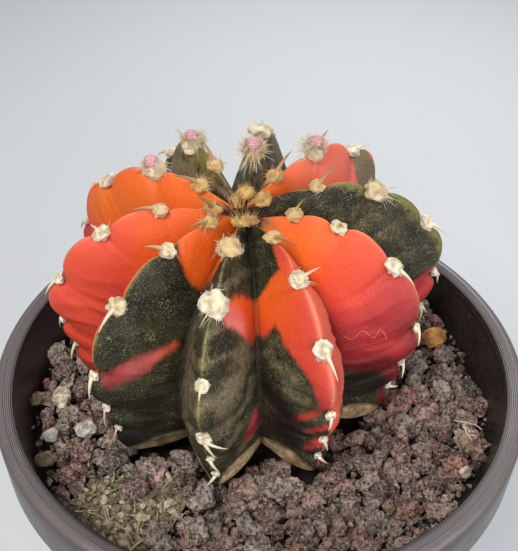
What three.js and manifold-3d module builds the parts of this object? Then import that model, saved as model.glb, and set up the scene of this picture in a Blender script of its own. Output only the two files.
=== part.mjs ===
// A variegated moon cactus that grows on its own root in a round nursery pot, top-dressed with lava gravel.
// Millimetres, +Z up. The origin is the middle of the pot's foot, on the surface that it stands on, and the
// side that shows the plant's darkest ribs faces -Y. Every piece stands at its place in the pot.
import * as THREE from "three";
import { mergeVertices } from "three/addons/utils/BufferGeometryUtils.js";
import Module from "manifold-3d";

const wasm = await Module();
wasm.setup();

// ---------------------------------------------------------------- driving dimensions

const PLAY = 0.3; // left between pieces that touch
const SLIVER = 0.02; // corners of a joined solid that are nearer than this become one
const ROUND_SIDES = 44; // facets round the pot and its fill

// Pot: a tapered shell with a rolled rim, whose skirt turns down outside the wall.
const RIM_RADIUS = 45;
const RIM_HEIGHT = 79;
const MOUTH_RADIUS = 41.75;
const WALL = 1.4;
const SKIRT_DROP = 10;
const FOOT_RADIUS = 30.5;
const FOOT_RISE = 2; // the base plate's height above the surface
const FLOOR = 3.6; // upper face of the base plate
const DRAIN_RADIUS = 3.2;
const DRAIN_RING = 19;
const DRAINS = 6;

// Fill: potting mix, with a layer of lava gravel on it.
const MIX_TOP = 60;
const BED = 68.8; // level that the top grains are bedded in
const GRAIN_RADIUS = 2.9;
const GRAIN_PITCH = 2.8; // the grains stand on a sunflower spiral of this pitch
const GRAIN_COUNT = 200;

// Plant: ten ribs round a depressed crown, standing a little off the pot's middle.
const STEM_X = -2.8;
const STEM_Y = 7.2;
const GROUND = 70; // the ribs' reach is scaled from here
const EDGE = 0.1; // roundness of a rib's edge, as a share of its half width
const CHIN = 1.5; // how far a rib's edge bulges between two areoles
const ROWS = 30;
const FLANK_STEPS = [0.2, 0.6]; // columns between a rib's edge and its groove
const ROOT_TOP = 71;
const CROWN = 104.2; // height of the skin on the axis

// Distance from the axis and height, from the crown to the tip that touches the gravel.
const RIDGE_OUTLINE = [
  [0.6, CROWN + 0.4],
  [4, 105.9],
  [8, 107.1],
  [15, 107.2],
  [22.5, 104.4],
  [28.8, 99.4],
  [32, 91.5],
  [30.7, 83.5],
  [28.9, 76.6],
  [27.4, 70.4],
];
const GROOVE_OUTLINE = [
  [0.6, CROWN],
  [5, 103.2],
  [10, 101],
  [15.5, 96.5],
  [20, 89],
  [22, 80],
  [20.5, 72.3],
];
// From the root's tip up to its top inside the body.
const ROOT_OUTLINE = [
  [0, 42.5],
  [1.6, 44],
  [4.6, 54],
  [6.8, 64],
  [7.5, ROOT_TOP],
];

// Each rib: the side that it faces in degrees from +X, how far it reaches, how its edge bows and hooks
// sideways in degrees, and how far its first areole has moved out from the crown, as a share of a step.
const RIBS = {
  a: { faces: -96, reach: 1, bow: -4.5, hook: -2, phase: 0.5 },
  b: { faces: -61.5, reach: 0.975, bow: -3.5, hook: -3.5, phase: 0.2 },
  c: { faces: -15.5, reach: 0.97, bow: -3, hook: -12, phase: 0.03 },
  d: { faces: 5, reach: 1.04, bow: 2.5, hook: 0, phase: 0.32 },
  e: { faces: 41, reach: 1.05, bow: 3, hook: 0, phase: 0.76 },
  f: { faces: 82, reach: 1.04, bow: 0, hook: 1, phase: 0.24 },
  g: { faces: 117, reach: 1, bow: 0, hook: 0, phase: 0.24 },
  h: { faces: 151, reach: 1.005, bow: 1, hook: 0, phase: 0.95 },
  i: { faces: 187, reach: 0.98, bow: 3.5, hook: -1.5, phase: 0.58 },
  j: { faces: 232, reach: 1, bow: -5, hook: -5, phase: 0.95 },
};
// Distances along a rib's edge of an areole that is 0, 1, 2 ... steps old.
const GROWTH = [0, 8.3, 17, 28, 40, 48, 54, 59.5];
const FIRST_AREOLE = 1.2; // the ones nearer the middle are one cushion
const LAST_AREOLE = 57;

// Wool and spines. The named areoles (rib, then number from the crown) carry a wider cushion of wool.
const WOOL = 1.45;
const WIDE_WOOL = { a1: 2, a2: 2.4, d2: 2.3, f2: 2 };
const BUD_WOOL = 2.1;
const BUDS = ["e1", "f1", "g2", "h1"];
const BUD_RADIUS = 1.15;
const BUD_LENGTH = 3.4;
const FIRST_SPINES = 3; // the youngest areoles have only wool
const SPINE = 4.6;
const SPINE_RADIUS = 0.4;

// Larger stones that lie loose on the gravel: place, half-sizes and turn.
const STONES = {
  ochre_pebble: { at: [33, 12.9, 71.1], half: [2.6, 2.2, 2], turn: 0.3, colour: "#b98a55" },
  white_pumice: { at: [-29.6, -9.2, 71.2], half: [2.3, 1.8, 1.7], turn: 1.1, colour: "#c9c6bf" },
  cream_pumice: { at: [-34.6, -2.6, 71.4], half: [1.5, 2.9, 1.4], turn: 0.35, colour: "#cdbb9d" },
};

// ---------------------------------------------------------------- solids

const UP = new THREE.Vector3(0, 0, 1);

/** A random number generator that always gives the same draw. */
function seeded(seed) {
  let state = seed;
  return () => {
    state = (state * 1664525 + 1013904223) % 4294967296;
    return state / 4294967296;
  };
}

/** A closed geometry as a solid that can be joined and cut; corners nearer than weld become one. */
function solid(geometry, weld = 1e-3) {
  const bare = geometry.clone();
  bare.deleteAttribute("normal");
  bare.deleteAttribute("uv");
  const merged = mergeVertices(bare, weld);
  return new wasm.Manifold(
    new wasm.Mesh({
      numProp: 3,
      vertProperties: merged.attributes.position.array,
      triVerts: new Uint32Array(merged.index.array),
    }),
  );
}

/** A solid's triangles as a geometry. */
function trianglesOf(body) {
  const { vertProperties, triVerts } = body.getMesh();
  const geometry = new THREE.BufferGeometry();
  geometry.setAttribute("position", new THREE.BufferAttribute(new Float32Array(vertProperties), 3));
  geometry.setIndex(new THREE.BufferAttribute(new Uint32Array(triVerts), 1));
  return geometry;
}

/** The largest body of a solid, without slivers, loose scraps and sealed crumbs of space. */
function mainBody(cut) {
  const bodies = solid(trianglesOf(cut), SLIVER).decompose();
  return bodies.reduce((best, body) => (body.volume() > best.volume() ? body : best));
}

/** A solid as a named, coloured mesh. */
function piece(name, body, colour, roughness) {
  const geometry = trianglesOf(body).toNonIndexed();
  geometry.computeVertexNormals();
  const material = new THREE.MeshStandardMaterial({ color: colour, roughness, metalness: 0 });
  const mesh = new THREE.Mesh(geometry, material);
  mesh.name = name;
  return mesh;
}

/** A profile of [radius, height] turned round the Z axis that passes through x, y. */
function turned(profile, x = 0, y = 0, sides = ROUND_SIDES) {
  const points = profile.map(([radius, height]) => new THREE.Vector2(radius, height));
  const geometry = new THREE.LatheGeometry(points, sides);
  return geometry.rotateX(Math.PI / 2).translate(x, y, 0);
}

/** A closed skin over rings of points, which run from a first pole to a last one. */
function ringSkin(first, rings, last) {
  const count = rings[0].length;
  const positions = [first, ...rings.flat(), last].flatMap((point) => point.toArray());
  const end = positions.length / 3 - 1;
  const faces = [];
  for (let column = 0; column < count; column += 1) {
    const next = (column + 1) % count;
    faces.push(0, 1 + column, 1 + next);
    for (let ring = 0; ring < rings.length - 1; ring += 1) {
      const above = 1 + ring * count;
      const below = above + count;
      faces.push(above + column, below + column, below + next);
      faces.push(above + column, below + next, above + next);
    }
    const bottom = end - count;
    faces.push(end, bottom + next, bottom + column);
  }
  const geometry = new THREE.BufferGeometry();
  geometry.setAttribute("position", new THREE.Float32BufferAttribute(positions, 3));
  geometry.setIndex(faces);
  return geometry;
}

/** A knobbly stone hewn from a rough shape, with the given half-sizes, turned about its own middle. */
function stone(rough, at, half, turn, knobs, draw) {
  rough.deleteAttribute("normal");
  rough.deleteAttribute("uv");
  const shape = mergeVertices(rough);
  const position = shape.attributes.position;
  for (let corner = 0; corner < position.count; corner += 1) {
    const push = 1 + knobs * (draw() - 0.5);
    const point = new THREE.Vector3().fromBufferAttribute(position, corner).multiplyScalar(push);
    position.setXYZ(corner, point.x, point.y, point.z);
  }
  shape.scale(...half).rotateX(turn[0]).rotateY(turn[1]).rotateZ(turn[2]);
  return shape.translate(...at);
}

// ---------------------------------------------------------------- pot

const outerFoot = FOOT_RADIUS;
const innerFoot = FOOT_RADIUS - WALL;
const skirtFoot = RIM_HEIGHT - SKIRT_DROP;

/** Radius of the pot's inner wall at a height. */
function innerWall(height) {
  const share = (height - FLOOR) / (RIM_HEIGHT - FLOOR);
  return THREE.MathUtils.lerp(innerFoot, MOUTH_RADIUS, share);
}

function makePot() {
  const wallAtSkirt = innerWall(skirtFoot) + WALL;
  const wallAtRim = innerWall(RIM_HEIGHT - WALL) + WALL * 0.7;
  const profile = [
    [0, FOOT_RISE],
    [outerFoot - 3, FOOT_RISE],
    [outerFoot - 2.6, 0],
    [outerFoot - 0.6, 0],
    [outerFoot, 0.8],
    [wallAtSkirt, skirtFoot],
    [wallAtRim, RIM_HEIGHT - WALL],
    [RIM_RADIUS - WALL, RIM_HEIGHT - WALL - 0.6],
    [RIM_RADIUS - WALL - 0.3, skirtFoot],
    [RIM_RADIUS - 0.3, skirtFoot],
    [RIM_RADIUS, RIM_HEIGHT - 1.5],
    [RIM_RADIUS - 0.4, RIM_HEIGHT - 0.4],
    [RIM_RADIUS - 1.2, RIM_HEIGHT],
    [MOUTH_RADIUS + 0.9, RIM_HEIGHT - 0.25],
    [MOUTH_RADIUS, RIM_HEIGHT - 1],
    [innerWall(RIM_HEIGHT - 4), RIM_HEIGHT - 4],
    [innerFoot, FLOOR],
    [0, FLOOR],
  ];
  const drain = new THREE.CylinderGeometry(DRAIN_RADIUS, DRAIN_RADIUS, FLOOR * 2, 12);
  drain.rotateX(Math.PI / 2).translate(DRAIN_RING, 0, FLOOR);
  let pot = solid(turned(profile));
  for (let hole = 0; hole < DRAINS; hole += 1) {
    const angle = ((hole + 0.5) * 2 * Math.PI) / DRAINS;
    pot = pot.subtract(solid(drain.clone().rotateZ(angle)));
  }
  return pot;
}

// ---------------------------------------------------------------- plant body

const ridge = new THREE.SplineCurve(RIDGE_OUTLINE.map(([r, z]) => new THREE.Vector2(r, z)));
const groove = new THREE.SplineCurve(GROOVE_OUTLINE.map(([r, z]) => new THREE.Vector2(r, z)));
const RIDGE_LENGTH = ridge.getLength();
const ribNames = Object.keys(RIBS);

/** Distances along a rib's edge at which its areoles sit. */
function areolesOf(rib) {
  const stations = [];
  for (let age = 0; age < GROWTH.length - 1; age += 1) {
    const station = THREE.MathUtils.lerp(GROWTH[age], GROWTH[age + 1], rib.phase);
    if (station > FIRST_AREOLE && station < LAST_AREOLE) stations.push(station);
  }
  return stations;
}

/** The side that a rib's edge faces at a share of its length, in radians. */
function facing(rib, share) {
  const degrees = rib.faces + rib.bow * Math.sin(Math.PI * share) + rib.hook * share ** 3;
  return THREE.MathUtils.degToRad(degrees);
}

/** How far a rib's edge stands out at a share of its length: a chin below each areole. */
function chin(rib, share) {
  const along = share * RIDGE_LENGTH;
  const stops = [0, ...areolesOf(rib), RIDGE_LENGTH];
  const below = stops.findIndex((stop, index) => index > 0 && along <= stop);
  const from = stops[Math.max(below, 1) - 1];
  const to = stops[Math.max(below, 1)];
  const phase = THREE.MathUtils.clamp((along - from) / (to - from), 0, 1);
  const size = CHIN * THREE.MathUtils.smoothstep(along, 4, 22) * Math.min(1, (to - from) / 9);
  return size * Math.sin(Math.PI * phase ** 0.72);
}

/** A point at a radius, an angle and a height in the plant's own frame, scaled by a rib's reach. */
function plantPoint(radius, angle, height, reach) {
  const spread = radius * reach;
  const rise = GROUND + (height - GROUND) * reach;
  return new THREE.Vector3(STEM_X + spread * Math.cos(angle), STEM_Y + spread * Math.sin(angle), rise);
}

/** Place and outward, downward and sideways directions on a rib's edge at a distance from the crown. */
function edgeFrame(rib, along) {
  const share = along / RIDGE_LENGTH;
  const angle = facing(rib, share);
  const spot = ridge.getPointAt(share);
  const run = ridge.getTangentAt(share);
  const outward = new THREE.Vector3(-run.y * Math.cos(angle), -run.y * Math.sin(angle), run.x);
  const down = new THREE.Vector3(run.x * Math.cos(angle), run.x * Math.sin(angle), run.y);
  const side = new THREE.Vector3(-Math.sin(angle), Math.cos(angle), 0);
  return { at: plantPoint(spot.x, angle, spot.y, rib.reach), outward, down, side };
}

/** A rib's section: 0 at its edge, 1 in its groove, rounded over at the edge. */
function flank(across) {
  const rounded = Math.hypot(across, EDGE) - EDGE;
  return rounded / (Math.hypot(1, EDGE) - EDGE);
}

/** A point of the skin: a share of the way down, and from a rib's edge towards the next or last groove. */
function skinPoint(index, across, share, swell) {
  const rib = RIBS[ribNames[index]];
  const step = Math.sign(across);
  const other = RIBS[ribNames[(index + step + ribNames.length) % ribNames.length]];
  const width = Math.abs(across);
  const own = facing(rib, share);
  let gap = facing(other, share) - own;
  gap -= 2 * Math.PI * Math.round(gap / (2 * Math.PI));
  const angle = own + (gap / 2) * width;
  const top = ridge.getPointAt(share);
  const low = groove.getPointAt(share);
  const run = ridge.getTangentAt(share);
  const bulge = swell > 0 ? 0 : chin(rib, share) * (1 - width) ** 1.5;
  const mix = flank(width);
  const reach = THREE.MathUtils.lerp(rib.reach, (rib.reach + other.reach) / 2, width);
  const radius = THREE.MathUtils.lerp(top.x, low.x, mix) - bulge * run.y + swell;
  const height = THREE.MathUtils.lerp(top.y, low.y, mix) + bulge * run.x;
  return plantPoint(radius, angle, height, reach);
}

/** The ribbed skin, closed under the ribs at the neck; swell makes it larger by that much. */
function ribbedSkin(swell) {
  const across = [...FLANK_STEPS.map((step) => -step).reverse(), 0, ...FLANK_STEPS, 1];
  const columns = ribNames.flatMap((name, index) => across.map((step) => [index, step]));
  const rings = [];
  for (let row = 1; row <= ROWS; row += 1) {
    const share = row / ROWS;
    rings.push(columns.map(([index, step]) => skinPoint(index, step, share, swell)));
  }
  const hem = rings[rings.length - 1];
  const neck = new THREE.Vector3(STEM_X, STEM_Y, ROOT_TOP - 1.4 - swell);
  for (const inward of [0.12, 0.55]) {
    rings.push(hem.map((point) => point.clone().lerp(neck, inward).setZ(point.z - swell)));
  }
  const crown = new THREE.Vector3(STEM_X, STEM_Y, CROWN + swell);
  return solid(ringSkin(crown, rings, neck));
}

// ---------------------------------------------------------------- wool, spines and buds

/** A curved, three-sided spine that starts at root and ends in a point. */
function spine(root, along, bend, length, radius) {
  const side = new THREE.Vector3().crossVectors(along, bend).normalize();
  const lift = new THREE.Vector3().crossVectors(side, along).normalize();
  const ring = (middle, size) =>
    [0, 1, 2].map((corner) => {
      const angle = (corner * 2 * Math.PI) / 3;
      const offset = lift.clone().multiplyScalar(-Math.cos(angle) * size);
      return offset.addScaledVector(side, Math.sin(angle) * size).add(middle);
    });
  const middle = root.clone().addScaledVector(along, length * 0.55).addScaledVector(bend, length * 0.06);
  const tip = root.clone().addScaledVector(along, length).addScaledVector(bend, length * 0.3);
  const butt = root.clone().addScaledVector(along, -radius);
  return solid(ringSkin(tip, [ring(middle, radius * 0.7), ring(root, radius)], butt));
}

/** A cushion of wool, flattened onto the skin. */
function woolCushion(frame, radius, detail, draw) {
  const cushion = new THREE.IcosahedronGeometry(1, detail);
  cushion.scale(radius * (0.95 + 0.2 * draw()), radius * (0.95 + 0.2 * draw()), radius * 0.85);
  cushion.applyQuaternion(new THREE.Quaternion().setFromUnitVectors(UP, frame.outward));
  const centre = frame.at.clone().addScaledVector(frame.outward, radius * 0.2);
  return solid(cushion.translate(centre.x, centre.y, centre.z));
}

/** The spines of one areole: one to each side. */
function areoleSpines(frame, along, draw) {
  const youth = 1 - THREE.MathUtils.smoothstep(along, 4, 20);
  const nearGround = THREE.MathUtils.smoothstep(along, 46, 54);
  return [-1, 1].map((sideways) => {
    const lean = sideways * (0.75 + 0.3 * draw());
    const dip = THREE.MathUtils.lerp(0.45, -0.3, Math.max(youth, nearGround)) * (0.6 + 0.8 * draw());
    const direction = frame.outward.clone().multiplyScalar(0.75);
    direction.addScaledVector(frame.side, lean).addScaledVector(frame.down, dip).normalize();
    const bend = frame.down.clone().addScaledVector(frame.outward, -0.4).normalize();
    const length = SPINE * (0.8 + 0.4 * draw()) * (1 - 0.25 * youth);
    const root = frame.at.clone().addScaledVector(frame.outward, 0.25);
    return spine(root, direction, bend, length, SPINE_RADIUS);
  });
}

/** A flower bud that stands in its wool; swell makes it larger by that much. */
function bud(frame, swell) {
  const radius = BUD_RADIUS + swell;
  const half = BUD_LENGTH / 2 + swell;
  const profile = [
    [0, -half],
    [radius * 0.75, -half * 0.7],
    [radius, 0],
    [radius * 0.8, half * 0.6],
    [0, half],
  ];
  const shape = turned(profile, 0, 0, 8);
  shape.applyQuaternion(new THREE.Quaternion().setFromUnitVectors(UP, frame.outward));
  const centre = frame.at.clone().addScaledVector(frame.outward, BUD_WOOL * 0.75 + 0.6);
  return solid(shape.translate(centre.x, centre.y, centre.z));
}

const budFrames = BUDS.map((key) => {
  const rib = RIBS[key[0]];
  return edgeFrame(rib, areolesOf(rib)[Number(key[1])]);
});

function makeCactus() {
  const draw = seeded(21);
  const root = turned([...ROOT_OUTLINE, [0, ROOT_TOP]], STEM_X, STEM_Y, 12);
  const crown = { at: new THREE.Vector3(STEM_X, STEM_Y, CROWN), outward: UP };
  const parts = [ribbedSkin(0), solid(root), woolCushion(crown, WOOL, 0, draw)];
  for (const name of ribNames) {
    areolesOf(RIBS[name]).forEach((along, number) => {
      const key = name + number;
      const frame = edgeFrame(RIBS[name], along);
      const underBud = BUDS.includes(key);
      const radius = underBud ? BUD_WOOL : (WIDE_WOOL[key] ?? WOOL);
      parts.push(woolCushion(frame, radius, underBud ? 1 : 0, draw));
      if (along > FIRST_SPINES) parts.push(...areoleSpines(frame, along, draw));
    });
  }
  const hollows = budFrames.map((frame) => bud(frame, PLAY));
  return mainBody(wasm.Manifold.union(parts).subtract(wasm.Manifold.union(hollows)));
}

// ---------------------------------------------------------------- fill

/** The plain tapered hole that the root stands in. */
function rootHole() {
  const [[, tip], ...wall] = ROOT_OUTLINE;
  const profile = wall.map(([radius, height]) => [radius + PLAY + 0.1, height]);
  const mouth = ROOT_TOP + 4;
  const [lastRadius] = profile[profile.length - 1];
  return solid(turned([[0, tip - PLAY], ...profile, [lastRadius, mouth], [0, mouth]], STEM_X, STEM_Y, 12));
}

function makeMix() {
  const profile = [
    [0, FLOOR + PLAY],
    [innerWall(FLOOR) - PLAY - 0.1, FLOOR + PLAY],
    [innerWall(MIX_TOP) - PLAY - 0.1, MIX_TOP],
    [0, MIX_TOP],
  ];
  return solid(turned(profile)).subtract(rootHole());
}

/** Half-sizes, place and turn of each top grain, from the pot's middle out to its wall. */
function gravelGrains(draw) {
  const golden = Math.PI * (3 - Math.sqrt(5));
  const grains = [];
  for (let count = 0; count < GRAIN_COUNT; count += 1) {
    const size = GRAIN_RADIUS * (0.8 + 0.4 * draw());
    const half = [size, size * (0.7 + 0.3 * draw()), size * (0.65 + 0.25 * draw())];
    const turn = [0, 0, 0].map(() => (draw() - 0.5) * 1.6);
    const radius = GRAIN_PITCH * Math.sqrt(count + 0.5);
    const angle = count * golden;
    const height = BED + 0.7 * draw();
    const at = [radius * Math.cos(angle), radius * Math.sin(angle), height];
    const underPlant = Math.hypot(at[0] - STEM_X, at[1] - STEM_Y) < 20;
    const inPot = radius < innerWall(BED) - size - PLAY - 0.2;
    const chunk = new THREE.BoxGeometry(1.45, 1.45, 1.45);
    if (inPot && !underPlant) grains.push(solid(stone(chunk, at, half, turn, 0.5, draw)));
  }
  return grains;
}

function makeGravel(looseStones) {
  const profile = [
    [0, MIX_TOP + PLAY],
    [innerWall(MIX_TOP) - PLAY - 0.1, MIX_TOP + PLAY],
    [innerWall(BED) - PLAY - 0.1, BED],
    [0, BED],
  ];
  const layer = wasm.Manifold.union([solid(turned(profile)), ...gravelGrains(seeded(5))]);
  const seats = wasm.Manifold.union([ribbedSkin(PLAY + 0.1), rootHole(), ...looseStones]);
  return mainBody(layer.subtract(seats));
}

/** One loose stone; swell makes it larger by that much. */
function looseStone({ at, half, turn }, swell, seed) {
  const grown = half.map((size) => size + swell);
  return solid(stone(new THREE.IcosahedronGeometry(1, 0), at, grown, [0, 0, turn], 0.2, seeded(seed)));
}

// ---------------------------------------------------------------- assembly

const plant = new THREE.Group();
plant.add(piece("pot", makePot(), "#37302e", 0.5));
plant.add(piece("potting_mix", makeMix(), "#4a3a2c", 0.95));
const stoneEntries = Object.entries(STONES);
const seats = stoneEntries.map(([, entry], seed) => looseStone(entry, PLAY + 0.1, seed + 1));
plant.add(piece("lava_gravel", makeGravel(seats), "#6e4b45", 0.95));
plant.add(piece("moon_cactus", makeCactus(), "#c8553c", 0.6));
budFrames.forEach((frame, index) => {
  plant.add(piece("flower_bud_" + (index + 1), bud(frame, 0), "#c98b9a", 0.6));
});
stoneEntries.forEach(([name, entry], seed) => {
  plant.add(piece(name, looseStone(entry, 0, seed + 1), entry.colour, 0.9));
});

export default plant;
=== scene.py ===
"""The looks of a potted moon cactus: a variegated ten-ribbed plant in a plastic pot of lava gravel.

Sizes are millimetres in the part's own frame, +Z up, with the origin under the middle of the pot. They become
metres where a mesh is made. The plant's form repeats the outlines and rules that its solid is built from.
"""

import logging
import math
from dataclasses import dataclass, field
from enum import Enum
from typing import Any, Iterable, Sequence

import bmesh
import bpy
import numpy as np
from mathutils import Matrix


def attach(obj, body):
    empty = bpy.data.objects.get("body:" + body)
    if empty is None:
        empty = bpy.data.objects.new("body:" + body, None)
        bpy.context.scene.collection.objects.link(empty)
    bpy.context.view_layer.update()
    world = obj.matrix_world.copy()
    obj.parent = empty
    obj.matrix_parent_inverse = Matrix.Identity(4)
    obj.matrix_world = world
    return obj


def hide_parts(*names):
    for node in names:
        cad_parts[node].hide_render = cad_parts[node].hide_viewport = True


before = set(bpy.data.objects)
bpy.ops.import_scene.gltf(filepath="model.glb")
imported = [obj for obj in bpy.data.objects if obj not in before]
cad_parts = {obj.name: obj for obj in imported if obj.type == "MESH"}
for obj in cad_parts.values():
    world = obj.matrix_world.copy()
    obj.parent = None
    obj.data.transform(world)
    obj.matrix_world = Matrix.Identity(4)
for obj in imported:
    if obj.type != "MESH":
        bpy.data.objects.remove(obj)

MM = 0.001
TAU = 2 * math.pi
BODY = "root"
TINY = 1e-4
LOG = logging.getLogger("moon_cactus")

Array = np.ndarray
Colour = tuple[float, float, float]
Point = tuple[float, float, float]
Face = list[int]
Piece = bpy.types.Object
Material = bpy.types.Material
Socket = bpy.types.NodeSocket
Shape = tuple[Array, list[Face]]
Strand = tuple[Array, list[Face], Array]


# ---------------------------------------------------------------- sums used by every piece


def smooth(value: Array | float, low: float, high: float) -> Array:
    """A soft step from 0 at low to 1 at high."""
    share = np.clip((np.asarray(value, float) - low) / (high - low), 0, 1)
    return share * share * (3 - 2 * share)


def bell(value: Array, width: float) -> Array:
    """1 at 0, and nearly 0 from two widths away."""
    return np.exp(-((value / width) ** 2))


def level_points(x: Array, y: Array) -> Array:
    """Points at height 0."""
    return np.stack([x, y, np.zeros_like(x)], -1)


def unit(vectors: Array) -> Array:
    """The vectors at length one."""
    return vectors / np.maximum(np.linalg.norm(vectors, axis=-1, keepdims=True), 1e-9)


def lattice_noise(points: Array, size: float, seed: int) -> Array:
    """Smooth noise between -1 and 1.

    Args:
        points: places in mm, the last axis being x, y, z.
        size: the width in mm of one swell of the noise.
        seed: picks the pattern.

    Returns:
        One value for each place.
    """
    cells = 32
    table = np.random.default_rng(seed).uniform(-1, 1, (cells, cells, cells))
    scaled = np.asarray(points, float) / size
    low = np.floor(scaled).astype(int)
    part = scaled - low
    part = part * part * (3 - 2 * part)
    total = np.zeros(scaled.shape[:-1])
    for corner in np.ndindex(2, 2, 2):
        at = (low + corner) % cells
        weight = np.prod(np.where(np.array(corner) == 1, part, 1 - part), axis=-1)
        total += weight * table[at[..., 0], at[..., 1], at[..., 2]]
    return total


def rough_noise(points: Array, size: float, seed: int, octaves: int = 3) -> Array:
    """Lattice noise at several sizes, each half as wide and half as strong as the one before."""
    layers = (lattice_noise(points, size / 2**k, seed + k) / 2**k for k in range(octaves))
    return sum(layers)


def linear(red: int, green: int, blue: int) -> Colour:
    """A display colour, 0 to 255 a channel, as the linear colour that shaders use."""
    shares = (channel / 255 for channel in (red, green, blue))
    return tuple(s / 12.92 if s <= 0.04045 else ((s + 0.055) / 1.055) ** 2.4 for s in shares)


# ---------------------------------------------------------------- node trees


class Signal:
    """A number carried by a socket, on which sums are written as Python expressions."""

    def __init__(self, bench: "Bench", socket: Socket) -> None:
        self.bench = bench
        self.socket = socket

    def _sum(self, operation: str, first: Any, second: Any) -> "Signal":
        """Adds one Math node on two values or sockets."""
        made = self.bench.node("ShaderNodeMath", {"operation": operation}, {0: first, 1: second})
        return Signal(self.bench, made.outputs[0])

    def __add__(self, other: Any) -> "Signal":
        """This number plus another."""
        return self._sum("ADD", self, other)

    def __sub__(self, other: Any) -> "Signal":
        """This number less another."""
        return self._sum("SUBTRACT", self, other)

    def __rsub__(self, other: Any) -> "Signal":
        """Another number less this one."""
        return self._sum("SUBTRACT", other, self)

    def __mul__(self, other: Any) -> "Signal":
        """This number times another."""
        return self._sum("MULTIPLY", self, other)

    __radd__ = __add__
    __rmul__ = __mul__

    def step(self, low: float, high: float) -> "Signal":
        """A soft step from 0 at low to 1 at high."""
        made = self.bench.node(
            "ShaderNodeMapRange",
            {"interpolation_type": "SMOOTHSTEP", "clamp": True},
            {"Value": self, "From Min": low, "From Max": high, "To Min": 0.0, "To Max": 1.0},
        )
        return Signal(self.bench, made.outputs["Result"])


class Bench:
    """Builds one node tree, for a finish or for a rule that places repeats."""

    def __init__(self, tree: bpy.types.NodeTree) -> None:
        self.tree = tree

    def node(
        self,
        kind: str,
        settings: dict[str, Any] | None = None,
        sockets: dict[int | str, Any] | None = None,
    ) -> bpy.types.Node:
        """Adds one node.

        Args:
            kind: the node's type.
            settings: its properties, set first; "stops" gives a ramp's (place, colour) pairs.
            sockets: the value or link of each named or numbered input.

        Returns:
            The node.
        """
        made = self.tree.nodes.new(kind)
        for name, value in (settings or {}).items():
            if name == "stops":
                self._set_stops(made.color_ramp, value)
            else:
                setattr(made, name, value)
        for key, value in (sockets or {}).items():
            self.feed(made.inputs[key], value)
        return made

    def feed(self, socket: Socket, value: Any) -> None:
        """Links a socket to another one, or sets its value."""
        source = value.socket if isinstance(value, Signal) else value
        if isinstance(source, Socket):
            self.tree.links.new(source, socket)
        elif isinstance(source, tuple) and socket.type == "RGBA":
            socket.default_value = (*source, 1.0)
        else:
            socket.default_value = source

    def _set_stops(self, ramp: bpy.types.ColorRamp, stops: Sequence[tuple[float, Colour]]) -> None:
        """Gives a colour ramp its stops."""
        while len(ramp.elements) < len(stops):
            ramp.elements.new(1.0)
        for element, (place, colour) in zip(ramp.elements, stops):
            element.position = place
            element.color = (*colour, 1.0)

    def mix(self, share: Any, first: Any, second: Any, mode: str = "MIX") -> Socket:
        """Mixes two colours and gives the socket of the result."""
        settings = {"data_type": "RGBA", "blend_type": mode, "clamp_factor": True}
        return self.node("ShaderNodeMix", settings, {0: share, 6: first, 7: second}).outputs[2]

    def ramp(self, value: Any, stops: Sequence[tuple[float, Colour]]) -> Socket:
        """Turns a number from 0 to 1 into a colour."""
        return self.node("ShaderNodeValToRGB", {"stops": stops}, {"Fac": value}).outputs["Color"]

    def layer(self, name: str) -> Signal:
        """Reads a value painted on the mesh."""
        made = self.node("ShaderNodeAttribute", {"attribute_name": name})
        return Signal(self, made.outputs["Fac"])

    def place(self, stretch: Point = (1.0, 1.0, 1.0)) -> Socket:
        """The point on the object, stretched along its axes."""
        point = self.node("ShaderNodeTexCoord").outputs["Object"]
        return self.node("ShaderNodeMapping", {}, {"Vector": point, "Scale": stretch}).outputs[0]

    def noise(self, size: float, detail: float = 2.0, where: Any = None, roughness: float = 0.5) -> Signal:
        """Noise from 0 to 1 whose swells are size mm wide."""
        sockets = {"Vector": where or self.place(), "Scale": 1 / (size * MM)}
        sockets |= {"Detail": detail, "Roughness": roughness}
        return Signal(self, self.node("ShaderNodeTexNoise", {}, sockets).outputs["Fac"])

    def cells(self, size: float, where: Any = None) -> Signal:
        """Distance to the middle of cells that are size mm wide."""
        sockets = {"Vector": where or self.place(), "Scale": 1 / (size * MM)}
        return Signal(self, self.node("ShaderNodeTexVoronoi", {}, sockets).outputs["Distance"])

    def bump(self, height: Any, depth: float, strength: float = 1.0, under: Any = None) -> Socket:
        """Turns a height from 0 to 1, depth mm deep, into a normal."""
        sockets = {"Height": height, "Distance": depth * MM, "Strength": strength}
        if under is not None:
            sockets["Normal"] = under
        return self.node("ShaderNodeBump", {}, sockets).outputs["Normal"]


class Finish:
    """What each finish shares: a material with one Principled shader."""

    name: str = "finish"

    def material(self) -> Material:
        """Makes the material."""
        made = bpy.data.materials.new(self.name)
        made.use_nodes = True
        made.node_tree.nodes.clear()
        bench = Bench(made.node_tree)
        shader = bench.node("ShaderNodeBsdfPrincipled")
        bench.node("ShaderNodeOutputMaterial", {}, {"Surface": shader.outputs[0]})
        for socket, value in self.dress(bench).items():
            bench.feed(shader.inputs[socket], value)
        return made

    def dress(self, bench: Bench) -> dict[str, Any]:
        """What feeds each of the shader's sockets; each finish has its own."""
        raise NotImplementedError


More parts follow.
